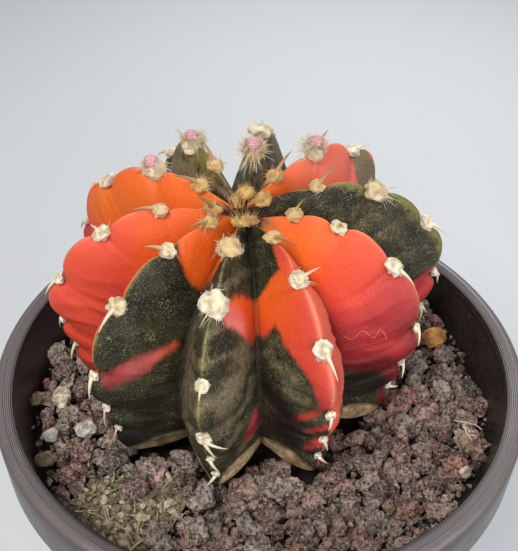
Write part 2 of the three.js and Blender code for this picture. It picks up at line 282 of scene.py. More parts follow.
@dataclass(frozen=True)
class Plastic(Finish):
    """Satin moulded plastic, scuffed and dusty, with a painted highlight on the rim's top."""

    name: str = "pot_plastic"
    dark: Colour = linear(42, 33, 32)
    # pale: the colour of the painted highlight on the rim's top
    pale: Colour = linear(106, 98, 98)
    roughness: float = 0.34

    def dress(self, bench: Bench) -> dict[str, Any]:
        """Paints the rim's top paler than the wall, as a painted highlight where light falls on it, and dulls
        it with dust.
        """
        rim = bench.layer("rim")
        mottle = bench.noise(6.0, 4.0)
        dust = bench.noise(0.9, 3.0).step(0.52, 0.8)
        # the rim is mixed towards the pale colour: painted highlight
        tone = bench.mix(rim * 0.85 + (mottle - 0.5) * 0.2, self.dark, self.pale)
        return {
            "Base Color": bench.mix(dust * 0.12, tone, linear(150, 140, 132)),
            "Roughness": self.roughness + (mottle - 0.5) * 0.2 + dust * 0.12,
            "Normal": bench.bump(bench.noise(0.35, 3.0), 0.03, 0.5),
            "Specular IOR Level": 0.45,
        }


@dataclass(frozen=True)
class Lava(Finish):
    """Crushed lava rock: pitted, dull, from grey through mauve and brown to rust."""

    name: str = "lava_rock"
    roughness: float = 0.92

    def dress(self, bench: Bench) -> dict[str, Any]:
        """Tints each grain on its own, paints shade into its pits and onto the bed under it, and paints
        highlights on it in pale flecks.
        """
        tint = bench.layer("tint")
        stone = bench.ramp(
            tint,
            (
                (0.0, linear(70, 59, 55)),
                (0.15, linear(142, 131, 121)),
                (0.3, linear(82, 62, 56)),
                (0.45, linear(150, 124, 112)),
                (0.58, linear(76, 66, 62)),
                (0.72, linear(126, 92, 80)),
                (0.88, linear(126, 118, 110)),
                (1.0, linear(136, 90, 72)),
            ),
        )
        fine = bench.noise(0.4, 4.0, roughness=0.7)
        rough = bench.noise(1.1, 4.0, roughness=0.7)
        pits = (bench.cells(0.7) + (fine - 0.5) * 1.1 + (rough - 0.5) * 1.2).step(0.08, 0.42)
        patch = bench.noise(1.7, 3.0)
        shade = bench.mix(patch.step(0.3, 0.7), (1.15, 1.08, 1.06), (3.1, 2.98, 2.92))
        mottled = bench.mix(1.0, stone, shade, "MULTIPLY")
        # the pits are painted dark: painted shade in the pores
        pit_shaded = bench.mix((1 - pits) * 0.66, mottled, linear(30, 21, 19))
        # pale flecks on the grains: painted highlights
        highlight_flecks = bench.mix(fine.step(0.5, 0.66) * 0.8, pit_shaded, linear(228, 214, 204))
        # the bed, tinted -1, is painted dark: painted shade in the gaps between grains
        tone = bench.mix(tint.step(-0.9, -0.1), linear(58, 44, 38), highlight_flecks)
        height = pits * 0.8 + fine * 0.9 + rough * 0.8
        return {"Base Color": tone, "Roughness": self.roughness, "Normal": bench.bump(height, 1.1)}


@dataclass(frozen=True)
class Stone(Finish):
    """A single paler stone, either smooth or frothy."""

    name: str = "pale_stone"
    colour: Colour = linear(206, 198, 182)
    # shade: the darker tone of the mottle, and the colour of the painted shade in the pores
    shade: Colour = linear(150, 138, 122)
    pit: float = 0.5
    depth: float = 0.25

    def dress(self, bench: Bench) -> dict[str, Any]:
        """Mottles the stone, sinks its pores and paints shade into them."""
        patch = bench.noise(1.6, 4.0)
        pores = bench.cells(self.pit).step(0.1, 0.45)
        tone = bench.mix(patch.step(0.35, 0.68), self.shade, self.colour)
        return {
            # the pores are darkened: painted shade in them
            "Base Color": bench.mix((1 - pores) * 0.5, tone, self.shade),
            "Roughness": 0.85,
            "Normal": bench.bump(pores + bench.noise(0.3, 3.0), self.depth, 0.7),
        }


@dataclass(frozen=True)
class Peat(Finish):
    """Dry potting mix: fine brown crumbs and straw-coloured fibres."""

    name: str = "potting_mix"

    def dress(self, bench: Bench) -> dict[str, Any]:
        """Mixes dark crumb with pale fibre."""
        tint = bench.layer("tint").step(0.0, 1.0)
        crumb = bench.noise(0.8, 5.0, roughness=0.7)
        straw = bench.noise(0.5, 3.0, bench.place((1.0, 0.35, 1.0))).step(0.5, 0.68)
        tone = bench.mix(crumb.step(0.3, 0.75) * 0.5 + tint * 0.55, linear(50, 38, 28), linear(226, 208, 172))
        return {
            "Base Color": bench.mix(straw * (0.25 + tint * 0.5), tone, linear(226, 212, 180)),
            "Roughness": 0.95,
            "Normal": bench.bump(crumb + straw * 0.6, 0.4),
        }


@dataclass(frozen=True)
class Skin(Finish):
    """The plant's skin: orange to crimson flesh and dark green where it kept its chlorophyll, with painted
    shade in its grooves and on its lower part.
    """

    name: str = "cactus_skin"
    roughness: float = 0.48

    def dress(self, bench: Bench) -> dict[str, Any]:
        """Turns the painted layers into colour."""
        place = bench.place()
        rag = bench.noise(1.4, 5.0, place, 0.7)
        cloud = bench.noise(5.5, 3.0, place)
        fleck = bench.noise(0.22, 3.0, place, 0.65)
        green = (bench.layer("green") + (rag - 0.5) * 0.5 + (fleck - 0.5) * 0.25).step(0.3, 0.68)
        edge = bench.layer("edge")
        tone = bench.mix(
            green, self._flesh(bench, cloud, fleck, edge), self._leaf(bench, rag, cloud, fleck, edge)
        )
        # near black over the lower body and in dark patches there: painted shade under the plant's bulge
        night = (bench.layer("night") + (rag - 0.5) * 0.5 * bench.layer("night")).step(0.15, 0.95)
        tone = bench.mix(night * 0.92, tone, linear(18, 9, 9))
        tone = bench.mix(bench.layer("cork"), tone, self._cork(bench, rag))
        # near black at the bottom of each groove: painted shade
        tone = bench.mix(bench.layer("cleft") * 0.62, tone, linear(26, 14, 10))
        grain = bench.cells(0.34, place).step(0.05, 0.6) * 0.5 + fleck * 0.8
        swell = bench.bump(bench.noise(1.5, 3.0, place), 0.22, 0.6)
        return {
            "Base Color": tone,
            "Roughness": self.roughness + green * 0.1 + bench.layer("cork") * 0.3,
            "Normal": bench.bump(grain, 0.085, 0.75, swell),
            "Subsurface Weight": 0.12,
            "Subsurface Radius": (0.0022, 0.0009, 0.0005),
            "Subsurface Scale": 1.0,
            "Specular IOR Level": 0.3,
        }

    def _flesh(self, bench: Bench, cloud: Signal, fleck: Signal, edge: Signal) -> Socket:
        """The skin without green in it."""
        blush = bench.layer("blush") + (cloud - 0.5) * 0.16 + (fleck - 0.5) * 0.1
        tone = bench.ramp(
            blush,
            (
                (0.0, linear(196, 112, 30)),
                (0.2, linear(222, 98, 30)),
                (0.42, linear(214, 80, 38)),
                (0.64, linear(200, 64, 48)),
                (0.84, linear(164, 42, 46)),
                (1.0, linear(104, 16, 28)),
            ),
        )
        tone = bench.mix(bench.layer("rose"), tone, linear(226, 128, 124))
        tone = bench.mix(fleck.step(0.56, 0.76) * 0.24, tone, linear(240, 148, 88))
        tone = bench.mix((1 - fleck.step(0.24, 0.42)) * 0.3, tone, linear(110, 30, 14))
        # a pale line along the ridge: partly the skin's own paler edge, partly a painted highlight where
        # light catches the rounded edge
        return bench.mix(edge * 0.36 + bench.layer("rim") * 0.22, tone, linear(240, 162, 126))

    def _leaf(
        self, bench: Bench, rag: Signal, cloud: Signal, fleck: Signal, edge: Signal
    ) -> Socket:
        """The skin where it is green: near black, mottled olive, mauve-brown and dusted white."""
        deep = bench.mix(cloud.step(0.35, 0.7), linear(22, 23, 12), linear(56, 53, 30))
        shade = bench.noise(1.8, 4.0, roughness=0.6).step(0.5, 0.66)
        deep = bench.mix(shade * 0.7, deep, linear(12, 11, 5))
        bronze = (bench.layer("bronze") + (rag - 0.5) * 1.1).step(0.42, 0.95)
        tone = bench.mix(bronze * 0.75, deep, linear(120, 104, 80))
        bloom = bench.noise(2.6, 4.0, roughness=0.65).step(0.5, 0.78)
        dust = bench.noise(0.26, 3.0, roughness=0.7).step(0.5, 0.66)
        tone = bench.mix(dust * (0.17 + bloom * 0.5 + bronze * 0.2), tone, linear(190, 182, 144))
        fringe = (bench.layer("rim") * 1.5 + (rag - 0.5) * 1.1 + (fleck - 0.5) * 0.6).step(0.36, 0.9)
        tone = bench.mix(fringe * 0.75, tone, linear(124, 118, 60))
        lime = (edge + (rag - 0.5) * 1.7).step(0.45, 1.1)
        return bench.mix(lime * 0.42, tone, linear(140, 132, 96))

    def _cork(self, bench: Bench, rag: Signal) -> Socket:
        """Old tan bark at the plant's foot."""
        streak = bench.noise(0.5, 3.0, bench.place((1.0, 1.0, 0.3)))
        tone = bench.mix(rag.step(0.35, 0.65), linear(132, 108, 76), linear(196, 170, 132))
        return bench.mix(streak.step(0.5, 0.75) * 0.5, tone, linear(78, 62, 44))


@dataclass(frozen=True)
class Wool(Finish):
    """Matted wool: cream outside, yellow in the middle and tan where it is young."""

    name: str = "areole_wool"

    def dress(self, bench: Bench) -> dict[str, Any]:
        """Ages the wool from ochre to cream, paints shade between its knots and paints highlights on its
        fuzz.
        """
        fuzz = bench.noise(0.12, 3.0, roughness=0.7)
        old = bench.mix(bench.layer("yolk") * 0.6, linear(238, 229, 204), linear(230, 214, 158))
        tone = bench.mix(bench.layer("youth"), old, linear(198, 154, 78))
        # darker between the knots: painted shade
        tone = bench.mix(bench.layer("cleft") * 0.75, tone, linear(138, 106, 62))
        # nap: the lighter colour of the fuzz, a painted highlight on the wool's fibres
        nap = bench.mix(bench.layer("youth"), linear(248, 242, 226), linear(240, 208, 138))
        return {
            "Base Color": bench.mix(fuzz.step(0.42, 0.66) * 0.45, tone, nap),
            "Roughness": 0.95,
            "Sheen Weight": 0.2,
            "Normal": bench.bump(fuzz, 0.16),
        }


@dataclass(frozen=True)
class Horn(Finish):
    """Spines: brown when young, bone-coloured when old, darker at the tip."""

    name: str = "spine_horn"

    def dress(self, bench: Bench) -> dict[str, Any]:
        """Shades each spine along its length."""
        along = bench.layer("along")
        young = bench.mix(along, linear(186, 146, 92), linear(124, 86, 50))
        old = bench.mix(along, linear(232, 222, 196), linear(206, 190, 160))
        streak = bench.noise(0.3, 2.0)
        tone = bench.mix(bench.layer("youth"), old, young)
        return {"Base Color": bench.mix(streak * 0.3, tone, linear(120, 92, 60)), "Roughness": 0.5}


@dataclass(frozen=True)
class Bristle(Finish):
    """The crown's dark, purple-brown bristles."""

    name: str = "crown_bristle"

    def dress(self, bench: Bench) -> dict[str, Any]:
        """Mottles the bristles."""
        tone = bench.mix(bench.noise(0.5, 2.0), linear(48, 20, 24), linear(104, 58, 50))
        return {"Base Color": tone, "Roughness": 0.6}


@dataclass(frozen=True)
class Petal(Finish):
    """Flower buds: packed mauve-pink scales."""

    name: str = "bud_scales"

    def dress(self, bench: Bench) -> dict[str, Any]:
        """Pales the edge of each scale."""
        edge = bench.layer("edge")
        tone = bench.mix(bench.noise(0.5, 2.0), linear(160, 100, 112), linear(194, 138, 144))
        return {
            "Base Color": bench.mix(edge * 0.8, tone, linear(232, 204, 200)),
            "Roughness": 0.6,
            "Normal": bench.bump(bench.noise(0.2, 3.0), 0.05, 0.5),
        }


@dataclass(frozen=True)
class Paper(Finish):
    """The plain pale floor."""

    name: str = "floor_paper"
    colour: Colour = linear(196, 199, 202)

    def dress(self, bench: Bench) -> dict[str, Any]:
        """Leaves the floor plain."""
        return {"Base Color": self.colour, "Roughness": 0.8}


# ---------------------------------------------------------------- meshes


def make_mesh(name: str, points: Array, faces: Iterable[Sequence[int]], soft: bool) -> bpy.types.Mesh:
    """A mesh from points in mm, its faces shaded smooth or flat."""
    mesh = bpy.data.meshes.new(name)
    mesh.from_pydata((np.asarray(points, float) * MM).tolist(), [], [list(map(int, f)) for f in faces])
    mesh.polygons.foreach_set("use_smooth", [soft] * len(mesh.polygons))
    return mesh


def set_out(name: str, data: Any) -> Piece:
    """Puts a mesh, a lamp or a camera in the scene."""
    made = bpy.data.objects.new(name, data)
    bpy.context.scene.collection.objects.link(made)
    return made


def make_piece(
    name: str,
    points: Array,
    faces: Iterable[Sequence[int]],
    material: Material | None,
    layers: dict[str, Array] | None = None,
    soft: bool = True,
) -> Piece:
    """Makes one object from points in mm.

    Args:
        name: the piece's name.
        points: its vertices, in mm.
        faces: the vertices of each face, anticlockwise from outside.
        material: its finish, or None for a shape that only guides others.
        layers: values painted on the vertices.
        soft: whether its faces are shaded smooth.

    Returns:
        The object, at the origin.
    """
    mesh = make_mesh(name, points, faces, soft)
    for layer, values in (layers or {}).items():
        flat = np.ascontiguousarray(values, np.float32)
        kind = "FLOAT" if flat.ndim == 1 else "FLOAT_VECTOR"
        target = "value" if flat.ndim == 1 else "vector"
        mesh.attributes.new(layer, kind, "POINT").data.foreach_set(target, flat.ravel())
    if material:
        mesh.materials.append(material)
    return set_out(name, mesh)


def declare(piece: Piece, slot: str, *nodes: str) -> None:
    """Rides a piece on the body, hides the nodes that it stands for, and reports it."""
    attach(piece, BODY)
    if nodes:
        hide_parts(*nodes)
    LOG.info("%s: %d faces", piece.name, len(piece.data.polygons))


def bands(rings: int, steps: int) -> list[Face]:
    """The faces between closed rings of points."""
    return [
        [r * steps + k, (r + 1) * steps + k, (r + 1) * steps + (k + 1) % steps, r * steps + (k + 1) % steps]
        for r in range(rings - 1)
        for k in range(steps)
    ]


def wrap(rings: int, steps: int) -> list[Face]:
    """The faces of a closed skin.

    Args:
        rings: how many rings of points run from its first end to its last.
        steps: points in each ring.

    Returns:
        The faces. The two end points are numbered after the rings.
    """
    first = rings * steps
    foot = first - steps
    faces = bands(rings, steps)
    faces += [[first, k, (k + 1) % steps] for k in range(steps)]
    faces += [[first + 1, foot + (k + 1) % steps, foot + k] for k in range(steps)]
    return faces


def circle(steps: int, shift: float = 0.0) -> Array:
    """Points spaced evenly round a circle of radius one, the first a share of a step from +X."""
    turns = (np.arange(steps) + shift) * TAU / steps
    return np.stack([np.cos(turns), np.sin(turns), 0 * turns], -1)


def turned(profile: Sequence[tuple[float, float]], steps: int) -> Shape:
    """Turns a profile round the Z axis.

    Args:
        profile: (radius, height) in mm, from the bottom of the axis round the outside to the top of it.
        steps: facets round the axis.

    Returns:
        The points and faces of the closed body.
    """
    rings = [radius * circle(steps) + [0, 0, height] for radius, height in profile[1:-1]]
    ends = np.array([[0, 0, profile[0][1]], [0, 0, profile[-1][1]]])
    faces = [[face[0], *face[:0:-1]] for face in wrap(len(rings), steps)]
    return np.vstack([*rings, ends]), faces


def strand(line: Array, radii: Array, sides: int) -> Strand:
    """A closed tube that follows a line.

    Args:
        line: the points it follows.
        radii: its radius at each of them.
        sides: facets round it.

    Returns:
        Its points, its faces and how far along it each point is, from 0 to 1.
    """
    run = unit(np.gradient(line, axis=0))
    guide = np.array([0.0, 0.0, 1.0]) if abs(run[0, 2]) < 0.8 else np.array([1.0, 0.0, 0.0])
    across = unit(np.cross(run, guide))
    beside = np.cross(run, across)
    angles = np.arange(sides) * TAU / sides
    ring = np.cos(angles)[:, None] * across[:, None] + np.sin(angles)[:, None] * beside[:, None]
    body = line[:, None] + ring * radii[:, None, None]
    points = np.vstack([body.reshape(-1, 3), line[:1], line[-1:]])
    along = np.concatenate([np.repeat(np.linspace(0, 1, len(line)), sides), [0.0, 1.0]])
    return points, wrap(len(line), sides), along


def unpacked(shape: bmesh.types.BMesh) -> Shape:
    """The points and faces of a shape, which is freed."""
    points = np.array([v.co[:] for v in shape.verts])
    faces = [[v.index for v in face.verts] for face in shape.faces]
    shape.free()
    return points, faces


def ball(detail: int) -> Shape:
    """The points and faces of a ball of radius one."""
    shape = bmesh.new()
    bmesh.ops.create_icosphere(shape, subdivisions=detail, radius=1.0)
    return unpacked(shape)


def crag(seed: int, corners: int, splits: int, rough: float) -> Shape:
    """An angular broken stone of about radius one.

    Args:
        seed: picks the stone.
        corners: points that its hull is drawn round.
        splits: how often its faces are divided.
        rough: how far the divided faces are pushed in and out.

    Returns:
        Its points and faces.
    """
    rng = np.random.default_rng(seed)
    spread = unit(rng.normal(size=(corners, 3))) * rng.uniform(0.8, 1.15, (corners, 1))
    shape = bmesh.new()
    for place in spread * rng.uniform(0.75, 1.15, 3):
        shape.verts.new(place)
    hull = bmesh.ops.convex_hull(shape, input=shape.verts[:])
    bmesh.ops.delete(shape, geom=list(set(hull["geom_interior"])), context="VERTS")
    if splits:
        bmesh.ops.subdivide_edges(shape, edges=shape.edges[:], cuts=splits, use_grid_fill=True)
    bmesh.ops.triangulate(shape, faces=shape.faces[:])
    bmesh.ops.recalc_face_normals(shape, faces=shape.faces[:])
    shape.verts.index_update()
    points, faces = unpacked(shape)
    return points * (1 + rough * rough_noise(points * 10, 6.0, seed)[:, None]), faces


def hewn(shape: Array, rng: np.random.Generator, cuts: int, nearest: float, sharpness: int) -> Array:
    """How far out a ball's points lie once flat faces are cut on it.

    Args:
        shape: the ball's points.
        rng: draws the faces.
        cuts: how many faces there are.
        nearest: how near to the middle a face may lie, as a share of the radius.
        sharpness: how crisp the edges between them are.

    Returns:
        The distance of each point from the middle.
    """
    ways = unit(rng.normal(size=(cuts, 3)))
    slabs = np.maximum(shape @ ways.T / rng.uniform(nearest, 1.0, cuts), 0)
    return (slabs**sharpness).sum(1) ** (-1 / sharpness)


def gather(parts: Iterable[Shape | Strand]) -> tuple[Array, list[Face], Array]:
    """Joins shapes into one list of points and faces, with the number of each point's shape."""
    points, faces, owner = [], [], []
    start = 0
    for number, (part_points, part_faces, *_) in enumerate(parts):
        points.append(part_points)
        faces.extend([[index + start for index in face] for face in part_faces])
        owner.append(np.full(len(part_points), number))
        start += len(part_points)
    return np.vstack(points), faces, np.concatenate(owner)


def settle(piece: Piece) -> None:
    """Turns what a piece's modifier makes into its plain mesh."""
    view = bpy.context.evaluated_depsgraph_get()
    mesh = bpy.data.meshes.new_from_object(piece.evaluated_get(view))
    piece.modifiers.clear()
    piece.data = mesh


class Rule:
    """A geometry node tree with named inputs, put on a piece as a modifier."""

    def __init__(self, name: str, inputs: dict[str, str]) -> None:
        self.tree = bpy.data.node_groups.new(name, "GeometryNodeTree")
        self.bench = Bench(self.tree)
        sides = self.tree.interface
        sides.new_socket("Geometry", in_out="OUTPUT", socket_type="NodeSocketGeometry")
        sides.new_socket("Geometry", in_out="INPUT", socket_type="NodeSocketGeometry")
        self.keys = {}
        for label, kind in inputs.items():
            self.keys[label] = sides.new_socket(label, in_out="INPUT", socket_type=kind).identifier
        self.source = self.bench.node("NodeGroupInput")

    def __getitem__(self, label: str) -> Socket:
        """The socket that a named input arrives on."""
        return self.source.outputs[label]

    def chance(self, kind: str, low: Any, high: Any, seed: Any) -> Socket:
        """A random value of each point, FLOAT or FLOAT_VECTOR."""
        first = {"FLOAT_VECTOR": 0, "FLOAT": 2}[kind]
        made = self.bench.node(
            "FunctionNodeRandomValue", {"data_type": kind}, {first: low, first + 1: high, "Seed": seed}
        )
        return made.outputs[{"FLOAT_VECTOR": 0, "FLOAT": 1}[kind]]

    def named(self, name: str, kind: str) -> Socket:
        """A value painted on the points."""
        made = self.bench.node("GeometryNodeInputNamedAttribute", {"data_type": kind}, {"Name": name})
        return made.outputs["Attribute"]

    def sway(self) -> Socket:
        """The most that a copy may turn: its tilt to either side and a full turn on its own axis."""
        turn = {"X": self["Tilt"], "Y": self["Tilt"], "Z": TAU}
        return self.bench.node("ShaderNodeCombineXYZ", {}, turn).outputs[0]

    def copies(self, points: Socket, turn: Any, size: Any) -> Socket:
        """Stands one of the kept shapes on each point, turned and sized."""
        kinds = self.bench.node(
            "GeometryNodeCollectionInfo",
            {"transform_space": "ORIGINAL"},
            {"Collection": self["Shapes"], "Separate Children": True, "Reset Children": True},
        )
        sockets = {"Points": points, "Instance": kinds.outputs[0], "Pick Instance": True}
        sockets |= {"Rotation": turn, "Scale": size}
        return self.bench.node("GeometryNodeInstanceOnPoints", {}, sockets).outputs[0]

    def finish(self, instances: Any, finish: Any, tint: Any = None) -> None:
        """Ends the tree: paints each copy, makes the copies real and gives them their finish."""
        if tint is not None:
            settings = {"data_type": "FLOAT", "domain": "INSTANCE"}
            sockets = {"Geometry": instances, "Name": "tint", "Value": tint}
            instances = self.bench.node("GeometryNodeStoreNamedAttribute", settings, sockets).outputs[0]
        real = self.bench.node("GeometryNodeRealizeInstances", {}, {"Geometry": instances})
        sockets = {"Geometry": real.outputs[0], "Material": finish}
        dressed = self.bench.node("GeometryNodeSetMaterial", {}, sockets)
        self.bench.node("NodeGroupOutput", {}, {0: dressed.outputs[0]})

    def apply(self, piece: Piece, **values: Any) -> None:
        """Puts the rule on a piece, sets its inputs and keeps the result as the piece's mesh."""
        modifier = piece.modifiers.new(self.tree.name, "NODES")
        modifier.node_group = self.tree
        for label, value in values.items():
            modifier[self.keys[label]] = value
        settle(piece)


def shelf(name: str, shapes: Iterable[Shape | Strand], soft: bool) -> bpy.types.Collection:
    """Keeps shapes that a rule copies in a collection that isn't in the scene."""
    made = bpy.data.collections.new(name)
    for number, (points, faces, *_) in enumerate(shapes):
        mesh = make_mesh(f"{name}_{number}", points, faces, soft)
        made.objects.link(bpy.data.objects.new(mesh.name, mesh))
    return made


# ---------------------------------------------------------------- the plant's form


class Outline:
    """A smooth curve through (radius, height) points, measured by its own length."""

    def __init__(self, points: Sequence[tuple[float, float]], steps: int = 40) -> None:
        stops = np.array(points, float)
        padded = np.vstack([stops[:1], stops, stops[-1:]])
        parts = [self._span(padded[k : k + 4], steps) for k in range(len(stops) - 1)]
        self.points = np.vstack([*parts, stops[-1:]])
        strides = np.linalg.norm(np.diff(self.points, axis=0), axis=1)
        self.travel = np.concatenate([[0], np.cumsum(strides)])
        self.length = float(self.travel[-1])
        self.runs = unit(np.gradient(self.points, self.travel, axis=0))

    @staticmethod
    def _span(stops: Array, steps: int) -> Array:
        """The curve between the middle two of four stops."""
        before, start, end, after = stops
        leave, arrive = (end - before) / 2, (after - start) / 2
        t = np.linspace(0, 1, steps, endpoint=False)[:, None]
        cubic = 2 * start - 2 * end + leave + arrive
        square = -3 * start + 3 * end - 2 * leave - arrive
        return cubic * t**3 + square * t**2 + leave * t + start

    def at(self, share: Array) -> Array:
        """The point at a share of the length."""
        return self._read(self.points, share)

    def run(self, share: Array) -> Array:
        """The direction at a share of the length."""
        return unit(self._read(self.runs, share))

    def _read(self, table: Array, share: Array) -> Array:
        """A row of a table at a share of the length."""
        travel = np.asarray(share, float) * self.length
        return np.stack([np.interp(travel, self.travel, table[:, k]) for k in (0, 1)], -1)


@dataclass(frozen=True)
class Rib:
    """One rib: its way in degrees from +X, its size, its curl, its areoles' start and its edge's tuck."""

    name: str
    faces: float
    reach: float
    bow: float
    hook: float
    phase: float
    tuck: float = 0.0


@dataclass(frozen=True)
class Perch:
    """A place on a rib's edge: where it is and which ways are out, down the edge and to the side."""

    rib: str
    number: int
    along: float
    at: Array
    out: Array
    down: Array
    side: Array

    @property
    def key(self) -> str:
        """The place's short name, such as a2."""
        return f"{self.rib}{self.number}"

    def toward(self, clock: float) -> Array:
        """The way over the skin at a clock angle from down the edge, in radians."""
        return math.cos(clock) * self.down + math.sin(clock) * self.side

    def place(self, local: Array, lift: float) -> Array:
        """Points given by their side, down and out measures, raised off the skin."""
        middle = self.at + self.out * lift
        return middle + local[:, :1] * self.side + local[:, 1:2] * self.down + local[:, 2:] * self.out


@dataclass
class PlantForm:
    """The ribbed body that every piece of the plant is set on."""

    stem: tuple[float, float] = (-2.8, 7.2)
    ground: float = 70.0
    crown: float = 104.2
    edge_width: float = 0.1
    chin_height: float = 1.5
    root_top: float = 71.0
    first_areole: float = 1.2
    last_areole: float = 57.0
    growth: tuple[float, ...] = (0, 8.3, 17, 28, 40, 48, 54, 59.5)
    ridge: Outline = field(
        default_factory=lambda: Outline(
            [
                (0.6, 104.6), (4, 105.9), (8, 107.1), (15, 107.2), (22.5, 104.4),
                (28.8, 99.4), (32, 91.5), (30.7, 83.5), (28.9, 76.6), (27.4, 70.4),
            ]
        )
    )
    groove: Outline = field(
        default_factory=lambda: Outline(
            [(0.6, 104.2), (5, 103.2), (10, 101), (15.5, 96.5), (20, 89), (22, 80), (20.5, 72.3)]
        )
    )
    ribs: tuple[Rib, ...] = (
        Rib("a", -96, 1, -4.5, -2, 0.5),
        Rib("b", -61.5, 0.975, -3.5, -3.5, 0.2),
        Rib("c", -15.5, 0.97, -3, -12, 0.03, 1.4),
        Rib("d", 5, 1.04, 2.5, 0, 0.32),
        Rib("e", 41, 1.05, 3, 0, 0.76),
        Rib("f", 82, 1.04, 0, 1, 0.24),
        Rib("g", 117, 1, 0, 0, 0.24),
        Rib("h", 151, 1.005, 1, 0, 0.95),
        Rib("i", 187, 0.98, 3.5, -1.5, 0.58),
        Rib("j", 232, 1, -5, -5, 0.95),
    )

    def number(self, name: str) -> int:
        """The number of the rib of that name."""
        return [rib.name for rib in self.ribs].index(name)

    def areoles(self, rib: Rib) -> list[float]:
        """How far along the rib's edge each of its areoles lies."""
        spans = zip(self.growth, self.growth[1:])
        marks = (low + (high - low) * rib.phase for low, high in spans)
        return [mark for mark in marks if self.first_areole < mark < self.last_areole]

    def facing(self, rib: Rib, share: Array) -> Array:
        """The way the rib faces at a share of its length, in radians."""
        return np.radians(rib.faces + rib.bow * np.sin(np.pi * share) + rib.hook * share**3)

    def between(self, rib: Rib, share: Array) -> tuple[Array, Array]:
        """How far down from the last areole a place lies, from 0 to 1, and the length of that step."""
        along = np.asarray(share, float) * self.ridge.length
        stops = np.array([0.0, *self.areoles(rib), self.ridge.length])
        after = np.clip(np.searchsorted(stops, along), 1, len(stops) - 1)
        step = stops[after] - stops[after - 1]
        return np.clip((along - stops[after - 1]) / step, 0, 1), step

    def chin(self, rib: Rib, share: Array) -> Array:
        """How far the edge swells out under each areole."""
        phase, step = self.between(rib, share)
        size = self.chin_height * smooth(share * self.ridge.length, 4, 22) * np.minimum(1, step / 9)
        return size * np.sin(np.pi * phase**0.72)

    def flank(self, across: Array) -> Array:
        """0 on the rounded edge and 1 in the groove."""
        small = self.edge_width
        return (np.hypot(across, small) - small) / (math.hypot(1, small) - small)

    def skin(self, index: int, across: Array, share: Array) -> Array:
        """Points on one rib.

        Args:
            index: the rib's number.
            across: -1 and 1 in the grooves beside it, 0 on its edge.
            share: 0 at the crown and 1 at the foot.

        Returns:
            The points in mm.
        """
        rib = self.ribs[index]
        width = np.abs(across)
        own = self.facing(rib, share)
        turns, reaches = [], []
        for step in (-1, 1):
            other = self.ribs[(index + step) % len(self.ribs)]
            turn = self.facing(other, share) - own
            turns.append(turn - TAU * np.round(turn / TAU))
            reaches.append(rib.reach + (other.reach - rib.reach) / 2 * width)
        right = across >= 0
        angle = own + np.where(right, turns[1], turns[0]) / 2 * width
        reach = np.where(right, reaches[1], reaches[0])
        top, low, run = self.ridge.at(share), self.groove.at(share), self.ridge.run(share)
        mix = self.flank(across)
        bulge = self.chin(rib, share) * (1 - width) ** 1.5
        tuck = rib.tuck * smooth(share, 0.1, 0.28) * (1 - width)
        radius = top[..., 0] + (low[..., 0] - top[..., 0]) * mix - bulge * run[..., 1] - tuck
        height = top[..., 1] + (low[..., 1] - top[..., 1]) * mix + bulge * run[..., 0]
        x = self.stem[0] + radius * reach * np.cos(angle)
        y = self.stem[1] + radius * reach * np.sin(angle)
        return np.stack([x, y, self.ground + (height - self.ground) * reach], -1)

    def perch(self, rib: Rib, number: int, along: float) -> Perch:
        """The place on a rib's edge at a length along it."""
        share = np.array(along / self.ridge.length)
        at = self.skin(self.ribs.index(rib), np.array(0.0), share)
        angle = float(self.facing(rib, share))
        run_out, run_up = self.ridge.run(share)
        cos, sin = math.cos(angle), math.sin(angle)
        out = np.array([-run_up * cos, -run_up * sin, run_out])
        down = np.array([run_out * cos, run_out * sin, run_up])
        return Perch(rib.name, number, along, at, out, down, np.array([-sin, cos, 0.0]))

    def perches(self) -> dict[str, Perch]:
        """Every areole of the plant, by its short name."""
        places = (
            self.perch(rib, number, along)
            for rib in self.ribs
            for number, along in enumerate(self.areoles(rib))
        )
        return {perch.key: perch for perch in places}


# ---------------------------------------------------------------- the pot and what fills it


